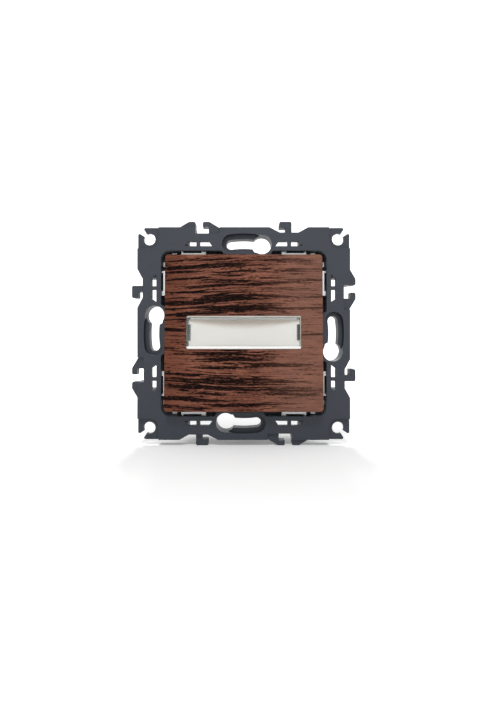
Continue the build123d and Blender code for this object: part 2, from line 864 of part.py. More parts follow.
# Housing
with BuildPart() as housing:
    with BuildSketch(wall_plane(-housing_depth)):
        RectangleRounded(housing_side, housing_side, housing_corner_radius)
    extrude(amount=housing_depth)
    with BuildSketch(wall_plane(0)):
        RectangleRounded(ring_outer, ring_outer, ring_radius)
        slot_bosses(seat_gap, mode=Mode.SUBTRACT)
    extrude(amount=flange_thickness)
    # Lugs behind the frame's slot walls
    with BuildSketch(wall_plane(0)):
        with PolarLocations(0, SIDES):
            Polygon(
                (stop_lug_start, housing_inner),
                (stop_lug_end, housing_inner),
                (stop_lug_end, stop_lug_reach),
                (stop_lug_start, stop_lug_reach),
                align=None,
            )
    extrude(amount=flange_thickness)
    with BuildSketch(wall_plane(floor_out)):
        RectangleRounded(2 * housing_inner, 2 * housing_inner, housing_corner_radius - housing_wall)
    extrude(amount=housing_depth + flange_thickness - housing_floor, mode=Mode.SUBTRACT)
    # Rebate that the deck drops into
    with BuildSketch(wall_plane(deck_back)):
        RectangleRounded(
            2 * (housing_inner + deck_rebate),
            2 * (housing_inner + deck_rebate),
            housing_corner_radius - housing_wall + deck_rebate,
        )
    extrude(amount=deck_thickness, mode=Mode.SUBTRACT)
    # Posts under the deck's screws
    with BuildSketch(wall_plane(floor_out)):
        with Locations((0, deck_screw_z)):
            with GridLocations(2 * housing_inner - deck_post_side, 0, 2, 1):
                Rectangle(deck_post_side, deck_post_side)
            with GridLocations(2 * deck_screw_place, 0, 2, 1):
                Circle(deck_screw_radius + fit_gap, mode=Mode.SUBTRACT)
    extrude(amount=deck_back - floor_out)
    # Partitions between the terminals and the works
    with BuildSketch(wall_plane(floor_out)):
        for sign in SIGNS:
            with Locations((sign * (partition_place + partition_wall / 2), 0)):
                Rectangle(partition_wall, 2 * housing_inner)
    extrude(amount=clamp_front - floor_out)
    # Post inside the return spring
    with BuildSketch(wall_plane(floor_out)):
        with Locations((0, plunger_z)):
            Circle(spring_post_radius)
    extrude(amount=spring_post_height)
    # Wire entries in the floor, with funnels
    with BuildSketch(wall_plane(-housing_depth)):
        with Locations(*TERMINALS):
            Circle(wire_entry_radius)
    extrude(amount=housing_floor, mode=Mode.SUBTRACT)
    entry_rims = edges().filter_by(GeomType.CIRCLE).filter_by(
        lambda e: abs(e.radius - wire_entry_radius) < fit_gap
    )
    chamfer(entry_rims.group_by(Axis.Y)[-1], wire_entry_funnel)
    # Access to the clamp screws, through the left and right walls
    for sign in SIGNS:
        with BuildSketch(Plane.YZ.offset(sign * half_housing)):
            with Locations((-clamp_screw_out, -terminal_z), (-clamp_screw_out, terminal_z)):
                Circle(screw_access_radius)
        extrude(amount=-sign * housing_wall, mode=Mode.SUBTRACT)
    # Vent slots in the floor behind the lamp board
    with BuildSketch(wall_plane(-housing_depth)):
        with Locations((0, board_z)):
            with GridLocations(vent_slot_pitch, 0, vent_slot_count, 1):
                SlotOverall(vent_slot_length, vent_slot_width, rotation=90)
    extrude(amount=housing_floor, mode=Mode.SUBTRACT)
    # Holes in the flange for the ring's screws
    with BuildSketch(wall_plane(0)):
        with GridLocations(2 * ring_screw_x, 2 * ring_screw_z, 2, 2):
            Circle(ring_screw_radius + fit_gap)
    extrude(amount=flange_thickness, mode=Mode.SUBTRACT)
housing.part.label = "housing"

# Deck
with BuildPart() as mechanism_deck:
    with BuildSketch(wall_plane(deck_back)):
        RectangleRounded(
            2 * (housing_inner + deck_rebate - deck_side_gap),
            2 * (housing_inner + deck_rebate - deck_side_gap),
            housing_corner_radius - housing_wall + deck_rebate,
        )
    extrude(amount=deck_thickness)
    with BuildSketch(wall_plane(deck_front)):
        with Locations((0, plunger_z)):
            Circle(guide_radius)
    extrude(amount=guide_height)
    with BuildSketch(wall_plane(deck_back)):
        with Locations((0, plunger_z)):
            Circle(plunger_stem_radius + plunger_running_gap)
        with GridLocations(2 * lamp_x, 0, 2, 1):
            Circle(lamp_radius + lamp_hole_gap)
        with Locations((0, deck_screw_z)):
            with GridLocations(2 * deck_screw_place, 0, 2, 1):
                Circle(deck_screw_radius + fit_gap)
    extrude(amount=deck_thickness + guide_height, mode=Mode.SUBTRACT)
    with BuildSketch(wall_plane(board_front)):
        with Locations((0, board_z)):
            with GridLocations(2 * board_pin_x, 2 * board_pin_spread, 2, 2):
                Circle(board_post_radius)
    extrude(amount=board_post_height)
    with BuildSketch(wall_plane(board_back - board_pin_radius)):
        with Locations((0, board_z)):
            with GridLocations(2 * board_pin_x, 2 * board_pin_spread, 2, 2):
                Circle(board_pin_radius)
    extrude(amount=board_thickness + board_post_height)
mechanism_deck.part.label = "mechanism_deck"

# Plunger
with BuildPart() as plunger:
    collar_front = deck_back - plunger_collar_gap
    for radius, low, high in (
        (plunger_head_radius, plunger_head_out - plunger_head_thickness, plunger_head_out),
        (plunger_stem_radius, bridge_out, plunger_head_out - plunger_head_thickness),
        (plunger_collar_radius, collar_front - plunger_collar_thickness, collar_front),
        (spigot_radius, bridge_back - spigot_length, bridge_out),
    ):
        with BuildSketch(wall_plane(low)):
            with Locations((0, plunger_z)):
                Circle(radius)
        extrude(amount=high - low)
plunger.part.label = "plunger"

# Contact bridge on the plunger's spigot
with BuildPart() as contact_bridge:
    with BuildSketch(wall_plane(bridge_back)):
        with Locations((0, plunger_z)):
            SlotOverall(bridge_length, bridge_width)
            Circle(spigot_radius + fit_gap, mode=Mode.SUBTRACT)
    extrude(amount=bridge_thickness)
contact_bridge.part.label = "contact_bridge"

with BuildPart() as bridge_contact_tips:
    with BuildSketch(wall_plane(bridge_back)):
        with Locations((-contact_place, plunger_z), (contact_place, plunger_z)):
            Circle(contact_tip_radius)
    extrude(amount=-contact_tip_height)
bridge_contact_tips.part.label = "bridge_contact_tips"

# Fixed contacts, from the lower terminals to the tips under the bridge
fixed_contacts = []
for sign, name in ((-1, "fixed_contact_left"), (1, "fixed_contact_right")):
    with BuildPart() as fixed_contact:
        with BuildSketch(wall_plane(clamp_front)):
            with Locations((sign * (contact_strip_inner + contact_strip_outer) / 2, plunger_z)):
                Rectangle(contact_strip_outer - contact_strip_inner, contact_strip_width)
        extrude(amount=contact_strip_thickness)
    fixed_contact.part.label = name
    fixed_contacts.append(fixed_contact.part)

with BuildPart() as fixed_contact_tips:
    with BuildSketch(wall_plane(strip_front)):
        with Locations((-contact_place, plunger_z), (contact_place, plunger_z)):
            Circle(contact_tip_radius)
    extrude(amount=contact_tip_height)
fixed_contact_tips.part.label = "fixed_contact_tips"

# Return spring, between the housing's floor and the bridge
spring_height = bridge_back - floor_out - spring_wire
with BuildPart() as return_spring:
    spring_foot = wall_plane(floor_out + spring_wire / 2).from_local_coords((0, plunger_z, 0))
    with BuildLine() as coil:
        Helix(
            spring_height / spring_turns,
            spring_height,
            spring_mean_radius,
            center=spring_foot,
            direction=wall_plane(0).z_dir,
        )
    with BuildSketch(Plane(coil.line @ 0, z_dir=coil.line % 0)):
        Circle(spring_wire / 2)
    sweep(path=coil.line, is_frenet=True)
return_spring.part.label = "return_spring"

# Clamp cages of the four terminals
with BuildPart() as terminal_clamps:
    with BuildSketch(wall_plane(floor_out)):
        for x, z in TERMINALS:
            sign = 1 if x > 0 else -1
            with Locations((sign * (clamp_inner + clamp_length / 2), z)):
                Rectangle(clamp_length, clamp_width)
            with Locations((x, z)):
                Rectangle(clamp_bore, clamp_bore, mode=Mode.SUBTRACT)
    extrude(amount=clamp_front - floor_out)
    for sign in SIGNS:
        with BuildSketch(Plane.YZ.offset(sign * housing_inner)):
            with Locations((-clamp_screw_out, -terminal_z), (-clamp_screw_out, terminal_z)):
                Circle(clamp_screw_radius + fit_gap)
        extrude(amount=-sign * (housing_inner - terminal_x), mode=Mode.SUBTRACT)
terminal_clamps.part.label = "terminal_clamps"

# Screws of the clamps, reached from the left and right
with BuildPart() as terminal_screws:
    for sign in SIGNS:
        places = ((-clamp_screw_out, -terminal_z), (-clamp_screw_out, terminal_z))
        with BuildSketch(Plane.YZ.offset(sign * clamp_screw_tip)):
            with Locations(*places):
                Circle(clamp_screw_radius)
        extrude(amount=sign * (housing_inner - clamp_screw_tip))
        with BuildSketch(Plane.YZ.offset(sign * housing_inner)):
            with Locations(*places):
                Circle(clamp_screw_head_radius)
        extrude(amount=sign * clamp_screw_head_height)
        with BuildSketch(Plane.YZ.offset(sign * (housing_inner + clamp_screw_head_height))):
            with Locations(*places):
                Rectangle(2 * clamp_screw_head_radius, clamp_screw_slot)
        extrude(amount=-sign * clamp_screw_slot_depth, mode=Mode.SUBTRACT)
terminal_screws.part.label = "terminal_screws"

# Lamp board, held on the deck's pins
with BuildPart() as lamp_board:
    with BuildSketch(wall_plane(board_back)):
        with Locations((0, board_z)):
            Rectangle(2 * board_half_width, board_height)
            with GridLocations(2 * board_pin_x, 2 * board_pin_spread, 2, 2):
                Circle(board_pin_radius + fit_gap, mode=Mode.SUBTRACT)
        for x in (-lamp_x, lamp_x):
            with Locations((x - lamp_lead_spread, 0), (x + lamp_lead_spread, 0)):
                Circle(lamp_lead_radius + fit_gap, mode=Mode.SUBTRACT)
    extrude(amount=board_thickness)
lamp_board.part.label = "lamp_board"

# Lamps, each with a rim and two leads through the board
with BuildPart() as lamps:
    with BuildSketch(wall_plane(board_front)):
        with GridLocations(2 * lamp_x, 0, 2, 1):
            Circle(lamp_radius)
    extrude(amount=lamp_height)
    fillet(faces().group_by(Axis.Y)[0].edges(), lamp_radius * 0.95)
    with BuildSketch(wall_plane(board_front)):
        with GridLocations(2 * lamp_x, 0, 2, 1):
            Circle(lamp_rim_radius)
    extrude(amount=lamp_rim_height)
    with BuildSketch(wall_plane(board_front)):
        with GridLocations(2 * lamp_x, 0, 2, 1):
            with Locations((-lamp_lead_spread, 0), (lamp_lead_spread, 0)):
                Circle(lamp_lead_radius)
    extrude(amount=-board_thickness - lamp_lead_below)
lamps.part.label = "lamps"


def axial_component(name, z, radius, length):
    """A body with a wire at each end, bent up to the board's back."""
    axis_out = board_back - radius
    with BuildPart() as component:
        with BuildSketch(Plane.YZ.offset(-length / 2)):
            with Locations((-axis_out, z)):
                Circle(radius)
        extrude(amount=length)
        fillet(edges().filter_by(GeomType.CIRCLE), radius / 4)
        with BuildLine(Plane.XY.offset(z)) as wire:
            FilletPolyline(
                (-axial_lead_span / 2, -board_back),
                (-axial_lead_span / 2, -axis_out),
                (axial_lead_span / 2, -axis_out),
                (axial_lead_span / 2, -board_back),
                radius=axial_lead_bend,
            )
        with BuildSketch(Plane(wire.line @ 0, z_dir=wire.line % 0)):
            Circle(axial_lead_radius)
        sweep(path=wire.line)
    component.part.label = name
    return component.part


series_resistor = axial_component("series_resistor", resistor_z, resistor_radius, resistor_length)
lamp_diode = axial_component("lamp_diode", diode_z, diode_radius, diode_length)

# Strips from the upper terminals to the lamp board
lamp_leads = []
for sign, name in ((-1, "lamp_lead_left"), (1, "lamp_lead_right")):
    with BuildPart() as lamp_lead:
        with BuildSketch(wall_plane(clamp_front)):
            with Locations((sign * (lead_leg_place + contact_strip_outer) / 2, terminal_z)):
                Rectangle(contact_strip_outer - lead_leg_place, lead_strip_width)
        extrude(amount=lead_strip_thickness)
        with BuildSketch(wall_plane(clamp_front)):
            with Locations((sign * (lead_leg_place + lead_strip_thickness / 2), terminal_z)):
                Rectangle(lead_strip_thickness, lead_strip_width)
        extrude(amount=board_back - clamp_front)
    lamp_lead.part.label = name
    lamp_leads.append(lamp_lead.part)

# Deck screws and ring screws
with BuildPart() as deck_screws:
    with BuildSketch(wall_plane(deck_front - deck_screw_length)):
        with Locations((0, deck_screw_z)):
            with GridLocations(2 * deck_screw_place, 0, 2, 1):
                Circle(deck_screw_radius)
    extrude(amount=deck_screw_length)
    with BuildSketch(wall_plane(deck_front)):
        with Locations((0, deck_screw_z)):
            with GridLocations(2 * deck_screw_place, 0, 2, 1):
                Circle(deck_screw_head_radius)
    extrude(amount=deck_screw_head_height)
deck_screws.part.label = "deck_screws"

with BuildPart() as ring_screws:
    with BuildSketch(wall_plane(0)):
        with GridLocations(2 * ring_screw_x, 2 * ring_screw_z, 2, 2):
            Circle(ring_screw_radius)
    extrude(amount=ring_screw_length)
    with BuildSketch(wall_plane(0)):
        with GridLocations(2 * ring_screw_x, 2 * ring_screw_z, 2, 2):
            Circle(ring_screw_head_radius)
    extrude(amount=-ring_screw_head_height)
ring_screws.part.label = "ring_screws"

pieces = [
    mounting_frame.part,
    clip_ring.part,
    push_plate.part,
    window_cover.part,
    name_label.part,
    light_diffuser.part,
    rocker_cradle.part,
    housing.part,
    mechanism_deck.part,
    plunger.part,
    contact_bridge.part,
    bridge_contact_tips.part,
    fixed_contact_tips.part,
    return_spring.part,
    terminal_clamps.part,
    terminal_screws.part,
    lamp_board.part,
    lamps.part,
    series_resistor,
    lamp_diode,
    deck_screws.part,
    ring_screws.part,
] + fixed_contacts + lamp_leads

os.makedirs("parts", exist_ok=True)
for piece in pieces:
    export_step(piece, f"parts/{piece.label}.step")

print("plunger travel, mm:", round(plunger_travel, 4))
print("least gap between the spring's turns, mm:", round(spring_height / spring_turns - spring_wire, 3))
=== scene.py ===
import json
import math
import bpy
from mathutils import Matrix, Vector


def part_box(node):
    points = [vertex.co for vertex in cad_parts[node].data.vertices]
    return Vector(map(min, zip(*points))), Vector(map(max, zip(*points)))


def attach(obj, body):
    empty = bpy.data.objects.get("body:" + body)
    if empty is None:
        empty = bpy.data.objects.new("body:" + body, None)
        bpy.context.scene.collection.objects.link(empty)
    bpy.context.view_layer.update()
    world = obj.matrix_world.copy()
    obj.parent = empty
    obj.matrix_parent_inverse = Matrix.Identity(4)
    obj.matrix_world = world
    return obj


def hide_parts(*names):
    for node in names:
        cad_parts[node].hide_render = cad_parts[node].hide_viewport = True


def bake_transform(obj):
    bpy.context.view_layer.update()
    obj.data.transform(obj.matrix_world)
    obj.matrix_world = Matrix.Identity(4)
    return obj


bl_info = {
    "name": "Illuminated bell push",
    "version": (1, 0, 0),
    "blender": (4, 5, 0),
    "location": "3D View > Sidebar > Bell push",
    "description": "Finishes, screws, spring and studio stage for a flush bell push with a wood-effect plate",
    "category": "Object",
}

import bmesh
import bpy
import numpy as np

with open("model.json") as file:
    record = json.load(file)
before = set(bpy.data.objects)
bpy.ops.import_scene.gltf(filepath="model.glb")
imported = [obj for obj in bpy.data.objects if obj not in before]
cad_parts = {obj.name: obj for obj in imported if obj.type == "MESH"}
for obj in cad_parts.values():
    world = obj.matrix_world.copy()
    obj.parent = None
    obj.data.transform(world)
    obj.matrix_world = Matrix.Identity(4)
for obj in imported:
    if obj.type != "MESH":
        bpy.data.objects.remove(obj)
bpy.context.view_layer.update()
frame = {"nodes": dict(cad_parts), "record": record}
NODES = frame["nodes"]
RECORD = frame["record"]
COLOURS = {entry["slot"]: tuple(entry["base_color"][:3]) for entry in RECORD["materials"]}
MILLIMETRE = 0.001

# Places taken from the solids, in metres
COVER_LOW, COVER_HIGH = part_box("window_cover")
LABEL_LOW, LABEL_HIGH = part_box("name_label")
RING_SCREW_LOW, RING_SCREW_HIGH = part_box("ring_screws")
TERMINAL_SCREW_LOW, TERMINAL_SCREW_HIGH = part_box("terminal_screws")
BOARD_LOW, BOARD_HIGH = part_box("lamp_board")
LAMP_LOW, LAMP_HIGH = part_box("lamps")
FRAME_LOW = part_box("mounting_frame")[0]

# The solids' sizes that their boxes don't give, in millimetres apart from the tilt
PLATE_TILT = math.radians(3.25)
RING_SCREW_ACROSS = 23.6
RING_SCREW_UP = 9.5
RING_THREAD_RADIUS = 0.99
TERMINAL_HEAD_HEIGHT = 1.4
TERMINAL_THREAD_END = 16.6
TERMINAL_THREAD_RADIUS = 1.49
LAMP_HALF_WIDTH = 1.9
LAMP_LEAD_OFFSET = 1.27
RESISTOR_BODY_HALF = 3.25
DIODE_BODY_HALF = 2.15

# The photograph's frame, in pixels
PHOTO_WIDTH = 481
PHOTO_HEIGHT = 701

# Noise layers of the wood: the size of their features along X, Y and Z in millimetres, detail, roughness, warp and
# seed. Their grain runs along X.
WOOD_LAYERS = {
    "flecks": ((3.6, 20.0, 0.28), 2.0, 0.6, 0.0, 7.0),
    "clumps": ((11.0, 40.0, 0.9), 2.0, 0.5, 0.0, 9.0),
    "teeth": ((0.7, 20.0, 0.30), 3.0, 0.65, 0.0, 6.0),
    "jags": ((1.3, 20.0, 0.42), 2.0, 0.5, 0.0, 31.0),
    "lines": ((6.0, 20.0, 0.42), 3.0, 0.6, 0.0, 4.0),
    "patches": ((12.0, 60.0, 3.4), 2.0, 0.5, 0.3, 15.0),
    "worn": ((1.6, 20.0, 0.20), 3.0, 0.65, 0.0, 21.0),
}

# Shares of the layers in the dark streaks, and in the tone of the wood between them
STREAK_SHARES = {"streaks": 0.36, "flecks": 0.15, "clumps": 0.20, "teeth": 0.11, "jags": 0.18}
TONE_SHARES = {"lines": 0.34, "teeth": 0.34, "jags": 0.12, "patches": 0.20}

# Dark bands of the wood: height of the band's middle on the plate, half its thickness, its middle across the
# plate, how far it runs to either side, and how dense it is. All but the density are in millimetres.
WOOD_BANDS = (
    (24.6, 0.3, -20.0, 7.0, 0.55),
    (24.0, 0.3, -11.0, 6.0, 0.65),
    (22.3, 0.6, -15.0, 14.0, 1.0),
    (20.9, 0.4, -22.0, 7.0, 0.8),
    (23.1, 0.6, 12.0, 15.0, 0.62),
    (20.2, 0.5, 8.0, 17.0, 0.58),
    (18.6, 0.3, -19.0, 8.0, 0.65),
    (17.8, 0.3, -10.0, 4.0, 0.75),
    (18.8, 0.3, -3.0, 4.0, 0.55),
    (15.7, 0.45, -8.0, 9.0, 0.88),
    (16.5, 0.8, 12.0, 14.0, 0.7),
    (14.1, 0.4, -18.0, 11.0, 0.65),
    (14.0, 0.4, 14.0, 11.0, 0.55),
    (12.9, 0.35, -4.0, 6.0, 0.68),
    (12.0, 0.4, -20.0, 9.0, 0.5),
    (11.0, 1.0, -6.0, 11.0, 1.0),
    (10.3, 0.6, -20.0, 10.0, 1.0),
    (11.2, 0.8, 13.0, 12.0, 0.72),
    (8.4, 0.25, -19.0, 11.0, 0.8),
    (7.6, 0.9, 3.0, 15.0, 0.92),
    (8.0, 0.7, 20.0, 7.0, 0.6),
    (6.6, 0.3, -18.0, 12.0, 1.0),
    (5.0, 0.3, -24.0, 5.0, 0.6),
    (1.5, 0.35, -24.0, 6.0, 0.95),
    (-0.3, 0.3, 23.0, 5.0, 0.8),
    (-5.0, 0.3, -24.0, 5.0, 0.65),
    (-6.9, 0.4, -17.0, 6.0, 0.68),
    (-6.6, 1.0, -1.0, 12.0, 0.55),
    (-8.5, 0.6, -5.0, 9.0, 0.82),
    (-9.9, 0.9, 11.0, 12.0, 0.62),
    (-11.4, 0.4, -9.0, 5.0, 0.9),
    (-13.8, 0.4, -20.0, 10.0, 0.75),
    (-15.2, 0.8, -1.0, 14.0, 0.88),
    (-16.0, 0.35, -22.0, 8.0, 0.85),
    (-17.7, 0.6, -2.0, 27.0, 0.92),
    (-19.5, 0.4, -12.0, 5.0, 0.75),
    (-19.0, 0.7, 16.0, 11.0, 0.6),
    (-21.6, 0.4, -18.0, 11.0, 0.78),
    (-22.7, 0.6, 3.0, 13.0, 0.66),
    (-24.3, 0.35, -19.0, 9.0, 0.7),
)


class Field:
    """One output socket of a node tree. Arithmetic on it adds Math nodes, with plain numbers on either side."""

    def __init__(self, nodes, socket):
        self.nodes = nodes
        self.socket = socket

    def maths(self, operation, *terms):
        return self.nodes.node("ShaderNodeMath", {"operation": operation}, dict(enumerate(terms)))

    def __add__(self, other):
        return self.maths("ADD", self, other)

    __radd__ = __add__

    def __sub__(self, other):
        return self.maths("SUBTRACT", self, other)

    def __rsub__(self, other):
        return self.maths("SUBTRACT", other, self)

    def __mul__(self, other):
        return self.maths("MULTIPLY", self, other)

    __rmul__ = __mul__

    def __truediv__(self, other):
        return self.maths("DIVIDE", self, other)

    def __rtruediv__(self, other):
        return self.maths("DIVIDE", other, self)

    def __pow__(self, other):
        return self.maths("POWER", self, other)

    def __abs__(self):
        return self.maths("ABSOLUTE", self)

    def larger(self, other):
        return self.maths("MAXIMUM", self, other)

    def smaller(self, other):
        return self.maths("MINIMUM", self, other)

    def ramp(self, low, high, start=0.0, end=1.0):
        """Straight line from start at low to end at high, level beyond them."""
        return self.nodes.node(
            "ShaderNodeMapRange",
            {"clamp": True},
            {"Value": self, "From Min": low, "From Max": high, "To Min": start, "To Max": end},
        )

    def step(self, low, high):
        """Smooth rise from 0 at low to 1 at high."""
        return self.nodes.node(
            "ShaderNodeMapRange",
            {"clamp": True, "interpolation_type": "SMOOTHSTEP"},
            {"Value": self, "From Min": low, "From Max": high},
        )


class Nodes:
    """A node tree, and the method that adds every node to it."""

    def __init__(self, tree):
        self.tree = tree

    def node(self, kind, settings=None, inputs=None, output=0):
        """Adds a node of this kind, sets its settings, then its sockets' values or links, and returns an output."""
        made = self.tree.nodes.new(kind)
        for key, value in (settings or {}).items():
            setattr(made, key, value)
        for key, value in (inputs or {}).items():
            if isinstance(value, Field):
                self.tree.links.new(value.socket, made.inputs[key])
            else:
                made.inputs[key].default_value = value
        return Field(self, made.outputs[output])

    def looked_at(self):
        """1 where a surface is seen by the camera, in a reflection or through a clear piece, and 0 for the rest."""
        seen, mirrored, through = (
            self.node("ShaderNodeLightPath", output=f"Is {ray} Ray") for ray in ("Camera", "Glossy", "Transmission")
        )
        return seen.larger(mirrored).larger(through)


class Paint(Nodes):
    """A material with one Principled shader, whose sockets its nodes feed."""

    def __init__(self, name, colour, roughness, **constants):
        self.material = bpy.data.materials.new(name)
        self.material.use_nodes = True
        super().__init__(self.material.node_tree)
        self.shader = self.tree.nodes["Principled BSDF"]
        self.shader.inputs["Base Color"].default_value = (*colour, 1)
        self.shader.inputs["Roughness"].default_value = roughness
        for socket, value in constants.items():
            self.shader.inputs[socket.replace("_", " ")].default_value = value
        self.colour = colour
        self.place = self.node("ShaderNodeTexCoord", output="Object")

    def feed(self, socket, value):
        """Links a value that changes over the surface to one of the shader's sockets."""
        self.tree.links.new(value.socket, self.shader.inputs[socket])

    def split(self):
        """The three Object coordinates, in metres."""
        parts = self.node("ShaderNodeSeparateXYZ", inputs={"Vector": self.place})
        outputs = parts.socket.node.outputs
        return [Field(self, outputs[axis]) for axis in ("X", "Y", "Z")]

    def grain(self, sizes, detail=3.0, rough=0.5, warp=0.0, seed=0.0, place=None):
        """Noise whose features measure sizes, in millimetres, along the three axes."""
        scale = tuple(1000.0 / size for size in sizes)
        spot = self.node(
            "ShaderNodeMapping",
            inputs={
                "Vector": place or self.place,
                "Scale": scale,
                "Location": (seed, seed * 0.7, seed * 1.3),
            },
        )
        return self.node(
            "ShaderNodeTexNoise",
            inputs={"Vector": spot, "Scale": 1.0, "Detail": detail, "Roughness": rough, "Distortion": warp},
        )

    def blend(self, share, first, second):
        """Mixes two colours, from the first at a share of 0 to the second at 1. The Mix node's sockets 6 and 7 are
        its two colours, and its output 2 is the mixed one."""
        sockets = {0: share}
        for key, colour in ((6, first), (7, second)):
            sockets[key] = colour if isinstance(colour, Field) else (*colour, 1)
        return self.node("ShaderNodeMix", {"data_type": "RGBA"}, sockets, output=2)

    def relief(self, height, depth_mm, soft_edge_mm=0.0):
        """Bump from a height of 0 to 1, over edges that look rounded by a small radius."""
        sockets = {"Height": height, "Distance": depth_mm * MILLIMETRE, "Strength": 1.0}
        if soft_edge_mm:
            sockets["Normal"] = self.node(
                "ShaderNodeBevel", {"samples": 6}, {"Radius": soft_edge_mm * MILLIMETRE}
            )
        self.feed("Normal", self.node("ShaderNodeBump", inputs=sockets))

    def cover_all(self, *names):
        """Gives this material to CAD nodes or pieces."""
        for name in names:
            data = NODES[name].data if name in NODES else bpy.data.objects[name].data
            data.materials.clear()
            data.materials.append(self.material)


def moulded(name, colour, roughness, grain_mm, depth_mm, edge_mm, tone=0.12, **constants):
    """Moulded plastic: a fine spark-eroded grain, slight clouding of the colour, and edges that look rounded."""
    paint = Paint(name, tuple(colour), roughness, **constants)
    fine = paint.grain((grain_mm,) * 3, detail=2.0)
    cloud = paint.grain((9.0, 9.0, 9.0), detail=2.0, seed=3.0)
    darker = [c * (1 - tone) for c in paint.colour]
    lighter = [min(1, c * (1 + tone)) for c in paint.colour]
    paint.feed("Base Color", paint.blend((fine * 0.6 + cloud * 0.4).step(0.3, 0.7), darker, lighter))
    paint.feed("Roughness", cloud.ramp(0.3, 0.7, roughness - 0.04, roughness + 0.05))
    paint.relief(fine, depth_mm, edge_mm)
    return paint


def metal(name, slot, roughness, lines_mm, edge_mm=0.05):
    """Bare metal with fine drawn lines and a few duller spots."""
    paint = Paint(name, COLOURS[slot], roughness, Metallic=1.0)
    lines = paint.grain(lines_mm, detail=3.0)
    spots = paint.grain((1.6, 1.6, 1.6), detail=3.0, seed=5.0)
    paint.feed(
        "Base Color",
        paint.blend(spots.step(0.35, 0.75), paint.colour, [c * 0.78 for c in paint.colour]),
    )
    paint.feed("Roughness", (lines * 0.7 + spots * 0.3).ramp(0.3, 0.7, roughness - 0.08, roughness + 0.12))
    paint.relief(lines, 0.004, edge_mm)
    return paint


def grid_sheet(points, wrap=True):
    """A sheet of points and quads from an array of points on a grid of u by v: one quad between each four
    neighbours, turned so that the u direction crossed with the v direction points outwards. With wrap, the last
    column of v joins the first."""
    count_u, count_v = points.shape[:2]
    number = np.arange(count_u * count_v).reshape(count_u, count_v)
    ahead_u = np.roll(number, -1, axis=0)
    ahead_v = np.roll(number, -1, axis=1)
    ahead_both = np.roll(ahead_u, -1, axis=1)
    columns = count_v if wrap else count_v - 1
    quads = np.stack([number, ahead_u, ahead_both, ahead_v], axis=-1)[:-1, :columns].reshape(-1, 4)
    return points.reshape(-1, 3), quads


def joined(name, sheets, body, smooth=40):
    """One object from several sheets of points and quads, in metres, with its place in its mesh. Points that
    coincide, at seams and poles, become one. It moves with the body, if one is named, and edges sharper than
    smooth, in degrees, stay sharp."""
    merge_distance = 1e-7  # in metres
    points = np.concatenate([sheet[0] for sheet in sheets])
    starts = np.cumsum([0] + [len(sheet[0]) for sheet in sheets[:-1]])
    quads = np.concatenate([sheet[1] + start for sheet, start in zip(sheets, starts)])
    mesh = bpy.data.meshes.new(name)
    mesh.vertices.add(len(points))
    mesh.vertices.foreach_set("co", points.astype(np.float32).ravel())
    mesh.loops.add(quads.size)
    mesh.loops.foreach_set("vertex_index", quads.ravel().astype(np.int32))
    mesh.polygons.add(len(quads))
    mesh.polygons.foreach_set("loop_start", np.arange(0, quads.size, 4, dtype=np.int32))
    mesh.update(calc_edges=True)
    shell = bmesh.new()
    shell.from_mesh(mesh)
    bmesh.ops.remove_doubles(shell, verts=shell.verts, dist=merge_distance)
    shell.to_mesh(mesh)
    shell.free()
    mesh.validate()
    mesh.set_sharp_from_angle(angle=math.radians(smooth))
    piece = bpy.data.objects.new(name, mesh)
    bpy.context.scene.collection.objects.link(piece)
    if body:
        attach(piece, body)
    return piece


def turned(profile, around=28):
    """A surface of revolution about the first axis: profile gives distance along it and radius, and a point is
    (along, radius times cosine, radius times sine) of the angle."""
    along, radius = np.asarray(profile, float).T
    angle = np.linspace(0, 2 * np.pi, around, endpoint=False)
    points = np.stack(
        [
            np.broadcast_to(along[:, None], (len(along), around)),
            radius[:, None] * np.cos(angle),
            radius[:, None] * np.sin(angle),
        ],
        axis=-1,
    )
    return grid_sheet(points)


def coil(low, high, wire, turns, closed=1.0, steps=560, around=14):
    """Compression spring along Y inside a box, in metres. The wire's middle is at the coil's radius times cosine
    and sine of the angle, and climbs along Y by the running sum of its rate, which is one wire a turn in the
    closed ends and even between them. The skin is the wire's radius times cosine away from the coil's axis and
    times sine along Y, and shrinks to a point past each end."""
    opening = 0.4  # the turns over which the closed ends open to the even pitch
    middle = (np.asarray(low) + np.asarray(high)) / 2
    mean_radius = (high[0] - low[0] - wire) / 2
    travel = high[1] - low[1] - wire
    turn = np.linspace(0.0, turns, steps)
    to_end = np.minimum(turn, turns - turn)
    opened = np.clip((to_end - closed + opening / 2) / opening, 0, 1)
    opened = opened**2 * (3 - 2 * opened)
    step = turns / (steps - 1)
    between = (opened[1:] + opened[:-1]) / 2 * step
    pitch = (travel - wire * turns) / between.sum()
    climb = np.concatenate([[0.0], np.cumsum(between)]) * pitch + wire * turn
    turn, climb = (np.concatenate([line[:1], line, line[-1:]]) for line in (turn, climb))
    skin = np.concatenate([[0.0], np.full(steps, wire / 2), [0.0]])
    angle = 2 * np.pi * turn
    round_wire = np.linspace(0, 2 * np.pi, around, endpoint=False)
    radius = mean_radius + skin[:, None] * np.cos(round_wire)
    points = np.stack(
        [
            middle[0] + radius * np.cos(angle)[:, None],
            high[1] - wire / 2 - climb[:, None] - skin[:, None] * np.sin(round_wire),
            middle[2] + radius * np.sin(angle)[:, None],
        ],
        axis=-1,
    )
    return grid_sheet(points)


